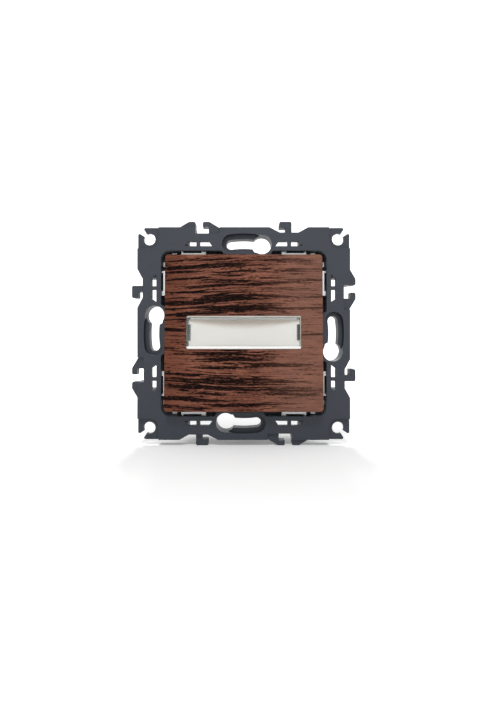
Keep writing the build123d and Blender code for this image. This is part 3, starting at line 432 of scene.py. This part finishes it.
def screw_head(radius, height, dome, cross, slot=None, around=144, rings=46):
    """Screw head seen along its axis, in millimetres. Its top is height less dome times the square of the share of
    the radius, and its rim is turned below that. Out of the top come a cross and, if given, a slot, each a half
    width and a depth: the whole depth inside their bars and none outside, with a sloped wall between."""
    flat_share = 0.94  # the top's share of the radius, inside the rim
    cross_reach = radius * 0.56
    slot_reach = radius * 2
    wall = 0.12  # the width of the sloped wall
    end_slope = 0.8  # the share of that slope that the bars' ends have
    share = np.linspace(0.0, 1.0, rings) ** 0.9
    angle = np.linspace(0, 2 * np.pi, around, endpoint=False)
    far = share[:, None] * radius * flat_share
    across = far * np.cos(angle)
    up = far * np.sin(angle)
    top = height - dome * (far / radius) ** 2 + 0 * across
    bars = [(across, up, cross_reach, *cross), (up, across, cross_reach, *cross)]
    if slot:
        bars.append((up, across, slot_reach, *slot))
    cut = np.zeros_like(top)
    for aside, along, reach, half, depth in bars:
        inside = np.minimum(half - np.abs(aside), (reach - np.abs(along)) * end_slope)
        cut = np.maximum(cut, np.clip(inside / wall + 0.5, 0, 1) * depth)
    middle = np.stack([top - cut, across, up], axis=-1)
    # The rim and the underside: height, and share of the radius
    edge = [
        (height - dome * 0.95, 0.97),
        (height - dome - 0.06, 0.995),
        (height - dome - 0.18, 1.0),
        (0.06, 1.0),
        (0.0, 0.97),
        (0.0, 0.0),
    ]
    skirt = np.stack(
        [
            np.stack([np.full(around, along), radius * out * np.cos(angle), radius * out * np.sin(angle)], axis=-1)
            for along, out in edge
        ]
    )
    return grid_sheet(np.concatenate([middle, skirt]))


def threaded_shank(radius, length, pitch, depth, around=36, per_turn=10):
    """Thread of a screw, in millimetres: the radius is the outer one less depth times the distance from the crest,
    which climbs one pitch for each turn, and it tapers to a blunt end over the last pitch."""
    blunt_share = 0.35
    along = np.linspace(0, length, int(length / pitch * per_turn))
    angle = np.linspace(0, 2 * np.pi, around, endpoint=False)
    phase = (along[:, None] / pitch - angle / (2 * np.pi)) % 1.0
    crest = np.abs(phase - 0.5) * 2
    fade = np.clip((length - along) / pitch, 0.0, 1.0)[:, None]
    out = (radius - depth * crest) * (blunt_share + (1 - blunt_share) * fade)
    out[[0, -1]] = 0.0
    points = np.stack([-along[:, None] + 0 * out, out * np.cos(angle), out * np.sin(angle)], axis=-1)
    return grid_sheet(points)


def set_down(sheet, origin, axis):
    """Moves a sheet made along the first axis, in millimetres, to a place in metres, along Y or along X either
    way."""
    points, quads = sheet
    along, second, third = (points * MILLIMETRE).T
    turned_points = {
        "+X": (along, second, third),
        "-X": (-along, -second, third),
        "+Y": (-second, along, third),
    }[axis]
    return np.stack(turned_points, axis=-1) + np.asarray(origin), quads


def plate_height(y, z):
    """Height up the tilted plate: the part of a place that lies along the plate's own upward direction."""
    return z * math.cos(PLATE_TILT) + y * math.sin(PLATE_TILT)


class PushSizes(bpy.types.PropertyGroup):
    soft_edge: bpy.props.FloatProperty(
        name="Soft edge",
        description="How round the moulded edges look, in millimetres",
        default=0.05,
        min=0.0,
        max=0.5,
    )
    streak_length: bpy.props.FloatProperty(
        name="Streak length",
        description="Length of the wood's dark streaks, in millimetres",
        default=12.0,
        min=2.0,
        max=30.0,
    )
    streak_height: bpy.props.FloatProperty(
        name="Streak height",
        description="Thickness of the wood's dark streaks, in millimetres",
        default=0.38,
        min=0.1,
        max=2.0,
    )
    grain_fan: bpy.props.FloatProperty(
        name="Grain fan",
        description="How much the grain climbs to the right above the window and falls below it, as a slope",
        default=0.05,
        min=-0.3,
        max=0.3,
    )
    band_weight: bpy.props.FloatProperty(
        name="Band weight",
        description="How much denser the dark streaks are inside the wood's bands",
        default=0.18,
        min=0.0,
        max=1.0,
    )
    head_dome: bpy.props.FloatProperty(
        name="Head dome",
        description="Rise of the ring screws' domed heads, in millimetres",
        default=0.42,
        min=0.0,
        max=0.9,
    )
    thread_pitch: bpy.props.FloatProperty(
        name="Thread pitch",
        description="Pitch of the screws, in millimetres",
        default=0.55,
        min=0.3,
        max=1.2,
    )
    spring_wire: bpy.props.FloatProperty(
        name="Spring wire",
        description="Thickness of the return spring's wire, in millimetres",
        default=0.5,
        min=0.2,
        max=0.8,
    )
    spring_turns: bpy.props.FloatProperty(
        name="Spring turns",
        description="Turns of the return spring, with the closed one at each end",
        default=9.0,
        min=4.0,
        max=14.0,
    )


class PushColours(bpy.types.PropertyGroup):
    slate: bpy.props.FloatVectorProperty(
        name="Slate",
        description="Colour of the mounting frame's moulding, without what its gloss adds",
        subtype="COLOR",
        default=(0.036, 0.042, 0.053),
        min=0.0,
        max=1.0,
    )
    wood_light: bpy.props.FloatVectorProperty(
        name="Light wood",
        description="Colour of the wood between its streaks",
        subtype="COLOR",
        default=(0.250, 0.098, 0.063),
        min=0.0,
        max=1.0,
    )
    wood_mid: bpy.props.FloatVectorProperty(
        name="Middle wood",
        description="Colour of the wood's softer darker veins",
        subtype="COLOR",
        default=(0.110, 0.040, 0.027),
        min=0.0,
        max=1.0,
    )
    wood_dark: bpy.props.FloatVectorProperty(
        name="Dark wood",
        description="Colour of the wood's dark streaks",
        subtype="COLOR",
        default=(0.004, 0.002, 0.002),
        min=0.0,
        max=1.0,
    )
    wood_deep: bpy.props.FloatVectorProperty(
        name="Deep wood",
        description="Colour of the wood towards its left edge",
        subtype="COLOR",
        default=(0.115, 0.037, 0.021),
        min=0.0,
        max=1.0,
    )
    wood_haze: bpy.props.FloatVectorProperty(
        name="Hazy wood",
        description="Colour towards which the wood fades at its right",
        subtype="COLOR",
        default=(0.222, 0.117, 0.087),
        min=0.0,
        max=1.0,
    )
    floor: bpy.props.FloatVectorProperty(
        name="Floor",
        description="Colour of the floor and backdrop",
        subtype="COLOR",
        default=(0.90, 0.90, 0.90),
        min=0.0,
        max=1.0,
    )


class PushStage(bpy.types.PropertyGroup):
    camera_distance: bpy.props.FloatProperty(
        name="Camera distance",
        description="Distance from the frame's front face to the camera",
        default=0.160,
        unit="LENGTH",
    )
    focal_pixels: bpy.props.FloatProperty(
        name="Focal length in pixels",
        description="Focal length of the photograph, in its own pixels",
        default=480.0,
    )
    centre_right: bpy.props.FloatProperty(
        name="Centre, from the left",
        description="Where the object's centre lies, in pixels from the photograph's left edge",
        default=243.75,
    )
    centre_down: bpy.props.FloatProperty(
        name="Centre, from the top",
        description="Where the object's centre lies, in pixels from the photograph's top edge",
        default=333.55,
    )
    key_power: bpy.props.FloatProperty(
        name="Key light",
        description="Power of the light above the camera",
        default=1.8,
        unit="POWER",
    )
    front_power: bpy.props.FloatProperty(
        name="Front light",
        description="Power of the broad light behind the camera",
        default=1.05,
        unit="POWER",
    )
    back_power: bpy.props.FloatProperty(
        name="Back light",
        description="Power of the light behind the object, which throws its shadow forwards",
        default=1.9,
        unit="POWER",
    )
    sky: bpy.props.FloatProperty(
        name="Surrounding light",
        description="Strength of the even light from all round",
        default=0.41,
    )


class FinishFrame(bpy.types.Operator):
    """Gives the mounting frame its dark slate moulded finish"""

    bl_idname = "bellpush.finish_frame"
    bl_label = "Mounting frame"

    def execute(self, context):
        edge = context.scene.push_sizes.soft_edge
        slate = context.scene.push_colours.slate
        paint = moulded("slate moulding", slate, 0.42, 0.16, 0.008, edge, tone=0.06, Specular_IOR_Level=0.22)
        paint.cover_all("mounting_frame")
        return {"FINISHED"}


class FinishRing(bpy.types.Operator):
    """Gives the clip ring and the plunger their smooth white finish"""

    bl_idname = "bellpush.finish_ring"
    bl_label = "Clip ring and plunger"

    def execute(self, context):
        paint = moulded("white moulding", (0.94, 0.94, 0.93), 0.30, 0.5, 0.004, 0.05, tone=0.02)
        paint.cover_all("clip_ring", "plunger")
        return {"FINISHED"}


class FinishPlate(bpy.types.Operator):
    """Paints the push plate's wood: streaks of stretched noise, denser inside listed bands"""

    bl_idname = "bellpush.finish_plate"
    bl_label = "Wood plate"

    def execute(self, context):
        sizes = context.scene.push_sizes
        colours = context.scene.push_colours
        paint = Paint("wood film", tuple(colours.wood_light), 0.42, Specular_IOR_Level=0.02)
        x, y, z = paint.split()
        x_mm = x * 1000
        z_mm = z * 1000

        # The grain falls to the right below the window and rises above it, from the plate's left edge to 4 mm right
        # of its middle, and is level from there on. Waves and ripples bend it.
        slope = z_mm.ramp(-14.0, 12.0, -sizes.grain_fan, sizes.grain_fan * 1.2)
        waves = paint.grain((20.0, 40.0, 7.0), detail=2.0, seed=11.0) - 0.5
        ripple = paint.grain((6.0, 40.0, 2.6), detail=2.0, seed=12.0) - 0.5
        level = z_mm - slope * (x_mm + 10).larger(-17).smaller(14) + waves * 1.6 + ripple * 0.18
        spot = paint.node("ShaderNodeCombineXYZ", inputs={"X": x, "Y": y, "Z": level / 1000})

        # Each band is its density over 1 plus the square of the height from its middle and the fourth power of the
        # distance along it, and the strongest band counts.
        bands = 0.0
        for height, half, middle, reach, density in WOOD_BANDS:
            across = ((level - height) / half) ** 2
            along = ((x_mm - middle) / reach) ** 4
            bands = (density / (across + along + 1)).larger(bands)

        layers = {name: paint.grain(*values, spot) for name, values in WOOD_LAYERS.items()}
        layers["streaks"] = paint.grain((sizes.streak_length, 40.0, sizes.streak_height), 2.0, 0.5, 0.0, 2.0, spot)
        streaking = sum(layers[name] * share for name, share in STREAK_SHARES.items()) + bands * sizes.band_weight
        tone = sum(layers[name] * share for name, share in TONE_SHARES.items())

        # Towards the right the streaks soften and the wood fades to a haze, and its left edge is deeper.
        haze = x_mm.step(0.0, 20.0)
        deep = x_mm.step(-15.0, -25.0)
        dark = streaking.step(0.53, haze * 0.05 + 0.575)
        worn = layers["worn"].step(0.50, 0.66)
        wood = paint.blend(tone.step(0.42, 0.58), tuple(colours.wood_mid), tuple(colours.wood_light))
        wood = paint.blend(haze * 0.50, wood, tuple(colours.wood_haze))
        wood = paint.blend(deep * 0.62, wood, tuple(colours.wood_deep))
        streaked = paint.blend(dark * (1 - haze * 0.24) * (1 - worn * 0.30), wood, tuple(colours.wood_dark))

        # The film covers the front, and the plate's sides and back are dark.
        normal = paint.node("ShaderNodeNewGeometry", output="Normal")
        facing = paint.node("ShaderNodeSeparateXYZ", inputs={"Vector": normal}, output="Y") * -1
        paint.feed("Base Color", paint.blend(facing.step(0.2, 0.6), tuple(colours.wood_dark), streaked))
        flecks = layers["flecks"]
        paint.feed("Roughness", (dark * 0.5 + flecks * 0.5).ramp(0.2, 0.8, 0.40, 0.52))
        paint.relief(flecks * 0.5 - dark * 0.5 + 0.5, 0.004, 0.1)
        paint.cover_all("push_plate")
        return {"FINISHED"}


class FinishWindow(bpy.types.Operator):
    """Makes the window cover clear, with denser walls and clips carrying painted light and shade, the label matt
    with a painted shadow at its upper edge, and the block behind it milky
    """

    bl_idname = "bellpush.finish_window"
    bl_label = "Name window"

    def execute(self, context):
        self.finish_cover()
        self.finish_label()
        milky = moulded("milky moulding", COLOURS["milky_plastic"], 0.4, 0.8, 0.004, 0.08, tone=0.02)
        milky.cover_all("light_diffuser")
        return {"FINISHED"}

    @staticmethod
    def finish_cover():
        clear = Paint("clear moulding", COLOURS["clear_plastic"], 0.06, Coat_Weight=0.3, Coat_Roughness=0.04)
        x, y, z = clear.split()
        aside = abs(x)
        up = plate_height(y, z)
        top = plate_height(COVER_LOW.y, COVER_HIGH.z)
        foot = plate_height(COVER_HIGH.y, COVER_LOW.z)
        to_right = x.step(-MILLIMETRE, MILLIMETRE)

        # The side walls, the upper and lower rims, and the clip at each end, which lies behind the front
        beside = aside.step(COVER_HIGH.x - 0.38 * MILLIMETRE, COVER_HIGH.x - 0.28 * MILLIMETRE)
        above = up.step(top - 0.50 * MILLIMETRE, top - 0.35 * MILLIMETRE)
        below = up.step(foot + 0.70 * MILLIMETRE, foot + 0.55 * MILLIMETRE)
        clip = aside.step(COVER_HIGH.x - 1.15 * MILLIMETRE, COVER_HIGH.x - 1.05 * MILLIMETRE)
        clip = clip * y.step(COVER_LOW.y + 0.65 * MILLIMETRE, COVER_LOW.y + 0.75 * MILLIMETRE)
        clip = clip * abs(up - (top + foot) / 2).step(2.7 * MILLIMETRE, 2.6 * MILLIMETRE)

        # The walls and clips carry painted light and shade, which differ from left to right as if different amounts
        # of light came through them: the left clip and the right wall are painted lighter.
        clip_painted_light = clear.blend(to_right, (0.17, 0.185, 0.15), (0.035, 0.043, 0.025))
        wall_painted_light = clear.blend(to_right, (0.12, 0.13, 0.10), (0.56, 0.57, 0.50))
        tint = clear.blend(beside, (0.80, 0.82, 0.78), wall_painted_light)
        # Painted shade on the upper rim, and a painted highlight on the lower rim.
        tint = clear.blend(above, tint, (0.50, 0.465, 0.415))
        tint = clear.blend(below, tint, (0.94, 0.93, 0.91))
        clear.feed("Base Color", clear.blend(clip, tint, clip_painted_light))
        flow = clear.grain((4.0, 4.0, 4.0), detail=2.0)
        edges = (above * 0.8).larger(beside * 0.5).larger(below * 0.75)
        clear.feed("Alpha", edges.larger(clip * 0.92).larger(flow * 0.02 + 0.04))
        clear.relief(flow, 0.003, 0.1)
        clear.cover_all("window_cover")

    @staticmethod
    def finish_label():
        card = Paint("label film", COLOURS["label_card"], 0.55)
        fibres = card.grain((1.2, 1.2, 0.25), detail=3.0)
        dust = card.grain((0.35, 0.35, 0.35), detail=1.0, seed=8.0).step(0.80, 0.84)
        paper = card.blend(
            fibres.step(0.3, 0.7), [c * 0.91 for c in card.colour], [c * 0.95 for c in card.colour]
        )

        # Painted shadow of the cover's rim on the label's upper edge, over 3.6 mm at the middle and 1 mm at the
        # ends.
        x, y, z = card.split()
        below_edge = plate_height(LABEL_LOW.y, LABEL_HIGH.z) - plate_height(y, z)
        depth = (x / LABEL_HIGH.x) ** 2 * -0.0026 + 0.0036
        painted_rim_shadow = (below_edge / depth).step(1.0, 0.25)
        paper = card.blend(painted_rim_shadow * 0.80, paper, (0.36, 0.29, 0.23))
        card.feed("Base Color", card.blend(dust * 0.5, paper, (0.35, 0.33, 0.28)))
        card.feed("Roughness", fibres.ramp(0.3, 0.7, 0.5, 0.62))
        card.relief(fibres, 0.004)
        card.cover_all("name_label")


class FinishMouldings(bpy.types.Operator):
    """Gives the housing, the deck and the cradle their moulded finishes"""

    bl_idname = "bellpush.finish_mouldings"
    bl_label = "Housing, deck and cradle"

    def execute(self, context):
        edge = context.scene.push_sizes.soft_edge
        dark = moulded("housing moulding", COLOURS["housing_plastic"], 0.5, 0.22, 0.02, edge, tone=0.14)
        dark.cover_all("housing")
        grey = moulded("grey moulding", COLOURS["cradle_plastic"], 0.42, 0.4, 0.006, 0.1, tone=0.04)
        grey.cover_all("rocker_cradle", "mechanism_deck")
        return {"FINISHED"}


class FinishMetals(bpy.types.Operator):
    """Gives the contacts, clamps, lamp leads and deck screws their metals"""

    bl_idname = "bellpush.finish_metals"
    bl_label = "Contacts and clamps"

    def execute(self, context):
        metal("copper strip", "contact_copper", 0.3, (6.0, 0.2, 0.12)).cover_all(
            "contact_bridge", "fixed_contact_left", "fixed_contact_right", "lamp_lead_left", "lamp_lead_right"
        )
        metal("silver tip", "contact_silver", 0.24, (0.3, 0.3, 0.3)).cover_all(
            "bridge_contact_tips", "fixed_contact_tips"
        )
        metal("clamp brass", "clamp_brass", 0.3, (0.2, 5.0, 0.2), 0.15).cover_all("terminal_clamps")
        metal("bright zinc", "zinc_steel", 0.26, (0.4, 0.4, 0.1), 0.08).cover_all("deck_screws")
        return {"FINISHED"}


class FinishLamp(bpy.types.Operator):
    """Paints the lamp board, its lamps, and the resistor and diode with their bands"""

    bl_idname = "bellpush.finish_lamp"
    bl_label = "Lamp board"

    def execute(self, context):
        board = Paint("board laminate", COLOURS["board_laminate"], 0.35, Coat_Weight=0.2)
        x, _, z = board.split()
        weave = board.node(
            "ShaderNodeTexChecker", inputs={"Vector": board.place, "Scale": 1800.0}, output="Fac"
        )
        # The tracks run along X at 1 and 11 mm up and along Z at 7.4 mm to either side, and end at 12.5 mm.
        along_x = abs(abs(z * 1000 - 6.0) - 5.0).step(0.9, 0.7)
        along_z = abs(abs(x * 1000) - 7.4).step(0.55, 0.4)
        track = along_x.larger(along_z) * abs(x * 1000).step(12.6, 12.4)
        green = board.blend(weave, [c * 0.92 for c in board.colour], board.colour)
        board.feed("Base Color", board.blend(track, green, [c * 1.5 for c in board.colour]))
        board.feed("Roughness", track.ramp(0.0, 1.0, 0.38, 0.3))
        board.relief(track, 0.035, 0.05)
        board.cover_all("lamp_board")

        lens = Paint("lamp lens", COLOURS["lamp_lens"], 0.22, Coat_Weight=0.3)
        depth = lens.split()[1].ramp(BOARD_LOW.y, LAMP_LOW.y)
        lens.feed("Base Color", lens.blend(depth, (0.80, 0.62, 0.34), COLOURS["lamp_lens"]))
        lens.shader.inputs["Emission Strength"].default_value = 0.6
        lens.feed("Emission Color", lens.blend(depth, (0.30, 0.16, 0.05), (1.0, 0.80, 0.48)))
        lens.relief(lens.grain((0.8, 0.8, 0.8)), 0.003, 0.06)
        lens.cover_all("lamps")

        # Bands: place along the body and half width, in millimetres, and colour
        resistor_bands = (
            (-2.2, 0.25, (0.30, 0.10, 0.04)),
            (-1.2, 0.25, (0.42, 0.03, 0.02)),
            (-0.2, 0.25, (0.55, 0.20, 0.02)),
            (1.9, 0.25, (0.60, 0.42, 0.12)),
        )
        diode_bands = ((1.45, 0.3, (0.62, 0.62, 0.62)),)
        for name, slot, node, body_half, bands in (
            ("resistor lacquer", "resistor_body", "series_resistor", RESISTOR_BODY_HALF, resistor_bands),
            ("diode moulding", "diode_body", "lamp_diode", DIODE_BODY_HALF, diode_bands),
        ):
            paint = Paint(name, COLOURS[slot], 0.36, Coat_Weight=0.25)
            along = paint.split()[0] * 1000
            wire = abs(along).step(body_half - 0.02, body_half + 0.02)
            clouds = paint.grain((0.7, 0.7, 0.7)).step(0.3, 0.8)
            colour = paint.blend(clouds, paint.colour, [c * 0.85 for c in paint.colour])
            for place, half, shade in bands:
                colour = paint.blend(abs(along - place).step(half + 0.03, half - 0.03), colour, shade)
            paint.feed("Base Color", paint.blend(wire, colour, (0.66, 0.66, 0.65)))
            paint.feed("Metallic", wire)
            paint.relief(paint.grain((0.5, 0.5, 0.5)), 0.004, 0.08)
            paint.cover_all(node)
        return {"FINISHED"}


class AddRingScrews(bpy.types.Operator):
    """Replaces the four ring screws by domed ones with a cross recess and a thread"""

    bl_idname = "bellpush.add_ring_screws"
    bl_label = "Ring screws"

    def execute(self, context):
        sizes = context.scene.push_sizes
        head_radius = (RING_SCREW_HIGH.x - RING_SCREW_LOW.x) / MILLIMETRE / 2 - RING_SCREW_ACROSS
        head_height = RING_SCREW_HIGH.y / MILLIMETRE
        length = -RING_SCREW_LOW.y / MILLIMETRE
        sheets = []
        for side in (-1, 1):
            for level in (-1, 1):
                place = (side * RING_SCREW_ACROSS * MILLIMETRE, 0.0, level * RING_SCREW_UP * MILLIMETRE)
                head = screw_head(head_radius, head_height, sizes.head_dome, cross=(0.24, 0.62))
                sheets.append(set_down(head, place, "+Y"))
                shank = threaded_shank(RING_THREAD_RADIUS, length, sizes.thread_pitch, 0.18)
                sheets.append(set_down(shank, place, "+Y"))
        piece = joined("ring_screws_detailed", sheets, "root")
        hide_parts("ring_screws")
        metal("bright zinc head", "zinc_steel", 0.24, (0.3, 0.3, 0.3), 0.05).cover_all(piece.name)
        return {"FINISHED"}


class AddTerminalScrews(bpy.types.Operator):
    """Replaces the four clamp screws by ones with a combined slot and cross, and a thread"""

    bl_idname = "bellpush.add_terminal_screws"
    bl_label = "Terminal screws"

    def execute(self, context):
        sizes = context.scene.push_sizes
        outer = TERMINAL_SCREW_HIGH.x / MILLIMETRE
        seat = outer - TERMINAL_HEAD_HEIGHT
        clamp_out = (TERMINAL_SCREW_LOW.y + TERMINAL_SCREW_HIGH.y) / 2
        radius = (TERMINAL_SCREW_HIGH.y - TERMINAL_SCREW_LOW.y) / 2 / MILLIMETRE
        level = TERMINAL_SCREW_HIGH.z - radius * MILLIMETRE
        sheets = []
        for side, axis in ((-1, "-X"), (1, "+X")):
            for height in (-1, 1):
                place = (side * seat * MILLIMETRE, clamp_out, height * level)
                head = screw_head(radius, TERMINAL_HEAD_HEIGHT, 0.12, cross=(0.26, 0.85), slot=(0.30, 0.7))
                sheets.append(set_down(head, place, axis))
                shank = threaded_shank(TERMINAL_THREAD_RADIUS, seat - TERMINAL_THREAD_END, sizes.thread_pitch, 0.2)
                sheets.append(set_down(shank, place, axis))
        piece = joined("terminal_screws_detailed", sheets, "root")
        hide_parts("terminal_screws")
        metal("plated clamp screw", "zinc_steel", 0.28, (0.3, 0.3, 0.3), 0.05).cover_all(piece.name)
        return {"FINISHED"}


class AddReturnSpring(bpy.types.Operator):
    """Replaces the return spring by one with closed ends, wound to fill the old spring's place between the plunger
    and the housing
    """

    bl_idname = "bellpush.add_return_spring"
    bl_label = "Return spring"

    def execute(self, context):
        sizes = context.scene.push_sizes
        low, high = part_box("return_spring")
        sheet = coil(low, high, sizes.spring_wire * MILLIMETRE, sizes.spring_turns)
        piece = joined("return_spring_wound", [sheet], None, smooth=80)
        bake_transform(piece)
        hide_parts("return_spring")
        metal("spring wire", "spring_steel", 0.28, (0.1, 2.0, 0.1)).cover_all("return_spring", piece.name)
        return {"FINISHED"}


class AddSolder(bpy.types.Operator):
    """Adds the solder cones where the lamps' leads come through the board"""

    bl_idname = "bellpush.add_solder"
    bl_label = "Solder joints"

    def execute(self, context):
        spread = (LAMP_HIGH.x - LAMP_LOW.x) / 2 / MILLIMETRE - LAMP_HALF_WIDTH
        # Distance out of the board and radius, in millimetres, from the tip down
        profile = (
            (0.62, 0.0),
            (0.62, 0.2),
            (0.6, 0.28),
            (0.42, 0.34),
            (0.2, 0.5),
            (0.06, 0.74),
            (-0.02, 0.78),
            (-0.02, 0.0),
        )
        sheets = []
        for side in (-1, 1):
            for lead in (-1, 1):
                place = ((side * spread + lead * LAMP_LEAD_OFFSET) * MILLIMETRE, BOARD_HIGH.y, 0.0)
                sheets.append(set_down(turned(profile), place, "+Y"))
        piece = joined("solder_joints", sheets, "root")
        metal("solder", "contact_silver", 0.3, (0.4, 0.4, 0.4), 0.0).cover_all(piece.name)
        return {"FINISHED"}


class SetStage(bpy.types.Operator):
    """Adds the floor and backdrop, the lights, the surrounding light and the camera of the photograph"""

    bl_idname = "bellpush.set_stage"
    bl_label = "Stage"

    def execute(self, context):
        stage = context.scene.push_stage
        colours = context.scene.push_colours
        scene = context.scene
        scene.view_settings.view_transform = "Standard"

        self.add_floor(scene, tuple(colours.floor))
        self.add_surrounding_light(scene, stage.sky)
        for name, place, size, power in (
            ("key_light", (-0.03, -0.42, 0.50), 0.12, stage.key_power),
            ("front_light", (0.02, -0.62, 0.10), 0.45, stage.front_power),
            ("back_light", (-0.02, 0.42, 0.38), 0.14, stage.back_power),
        ):
            data = bpy.data.lights.new(name, "AREA")
            data.shape = "SQUARE"
            data.size = size
            data.energy = power
            lamp = bpy.data.objects.new(name, data)
            scene.collection.objects.link(lamp)
            lamp.location = place
            aim = -np.asarray(place) / np.linalg.norm(place)
            pitch = math.atan2(math.hypot(aim[0], aim[1]), -aim[2])
            lamp.rotation_euler = (pitch, 0.0, math.atan2(aim[1], aim[0]) - math.pi / 2)

        self.add_camera(scene, stage)
        return {"FINISHED"}

    @staticmethod
    def add_floor(scene, colour):
        """A floor at the frame's lowest point, in metres, that bends up behind the object in a quarter circle: its
        run is the bend's start plus the radius times sine, and its rise is the radius less the radius times
        cosine."""
        ground = FRAME_LOW.z
        bend_start = 0.6
        bend_radius = 0.5
        bend = np.linspace(0.1, np.pi / 2, 12)
        level_run = [-0.9, -0.3, 0.0, 0.3, bend_start]
        run = np.concatenate([level_run, bend_start + bend_radius * np.sin(bend)])
        rise = np.concatenate([np.zeros(len(level_run)), bend_radius - bend_radius * np.cos(bend)])
        run = np.append(run, run[-1])
        rise = np.append(rise, 1.6)
        side = np.linspace(-1.6, 1.6, 9)
        points = np.stack(np.broadcast_arrays(side[None, :], run[:, None], rise[:, None] + ground), axis=-1)
        places, quads = grid_sheet(points, wrap=False)
        mesh = bpy.data.meshes.new("studio_floor")
        mesh.from_pydata(places.tolist(), [], quads[:, ::-1].tolist())
        mesh.update()
        floor = bpy.data.objects.new("studio_floor", mesh)
        scene.collection.objects.link(floor)

        # White where it is looked at, apart from a pool near the object that keeps its shadow
        paint = Paint("studio white", colour, 0.9)
        x, y, z = paint.split()
        away = (x * x + y * y) ** 0.5
        glow = away.ramp(0.0, 0.07, 0.15, 0.30) + away.step(0.07, 0.40) * 0.70
        glow = glow.larger((z - ground).step(0.02, 0.20))
        paint.feed("Emission Color", paint.blend(paint.looked_at() * glow, (0, 0, 0), (1, 1, 1)))
        paint.shader.inputs["Emission Strength"].default_value = 1.0
        paint.shader.inputs["Specular IOR Level"].default_value = 0.0
        mesh.materials.append(paint.material)

    @staticmethod
    def add_surrounding_light(scene, strength):
        """Even light of this strength from all round, which is white where it is looked at."""
        world = bpy.data.worlds.new("studio light")
        scene.world = world
        world.use_nodes = True
        nodes = Nodes(world.node_tree)
        background = world.node_tree.nodes["Background"]
        background.inputs["Color"].default_value = (1, 1, 1, 1)
        level = nodes.looked_at().ramp(0.0, 1.0, strength, 1.0)
        world.node_tree.links.new(level.socket, background.inputs["Strength"])

    @staticmethod
    def add_camera(scene, stage):
        """The camera of the photograph, on the object's axis, shifted so that its centre lies where it is there."""
        camera_data = bpy.data.cameras.new("photo_camera")
        camera = bpy.data.objects.new("photo_camera", camera_data)
        scene.collection.objects.link(camera)
        camera_data.sensor_fit = "AUTO"
        camera_data.sensor_width = 36.0
        camera_data.lens = stage.focal_pixels / PHOTO_HEIGHT * camera_data.sensor_width
        camera_data.shift_x = (PHOTO_WIDTH / 2 - stage.centre_right) / PHOTO_HEIGHT
        camera_data.shift_y = (stage.centre_down - PHOTO_HEIGHT / 2) / PHOTO_HEIGHT
        camera_data.clip_start = 0.005
        camera.location = (0.0, FRAME_LOW.y - stage.camera_distance, 0.0)
        camera.rotation_euler = (math.pi / 2, 0.0, 0.0)
        scene.camera = camera


STEPS = (
    FinishFrame,
    FinishRing,
    FinishPlate,
    FinishWindow,
    FinishMouldings,
    FinishMetals,
    FinishLamp,
    AddRingScrews,
    AddTerminalScrews,
    AddReturnSpring,
    AddSolder,
    SetStage,
)


class PushPanel(bpy.types.Panel):
    """Lists the sizes, colours and stage settings, and a button for each step"""

    bl_idname = "VIEW3D_PT_bell_push"
    bl_label = "Bell push"
    bl_space_type = "VIEW_3D"
    bl_region_type = "UI"
    bl_category = "Bell push"

    def draw(self, context):
        for group in (context.scene.push_sizes, context.scene.push_colours, context.scene.push_stage):
            box = self.layout.box()
            for name in group.__annotations__:
                box.prop(group, name)
        for step in STEPS:
            self.layout.operator(step.bl_idname)


CLASSES = (PushSizes, PushColours, PushStage) + STEPS + (PushPanel,)


def register():
    for cls in CLASSES:
        bpy.utils.register_class(cls)
    bpy.types.Scene.push_sizes = bpy.props.PointerProperty(type=PushSizes)
    bpy.types.Scene.push_colours = bpy.props.PointerProperty(type=PushColours)
    bpy.types.Scene.push_stage = bpy.props.PointerProperty(type=PushStage)


def unregister():
    del bpy.types.Scene.push_sizes
    del bpy.types.Scene.push_colours
    del bpy.types.Scene.push_stage
    for cls in reversed(CLASSES):
        bpy.utils.unregister_class(cls)


def main():
    register()
    for step in STEPS:
        area, action = step.bl_idname.split(".")
        getattr(getattr(bpy.ops, area), action)()


if __name__ == "__main__":
    main()
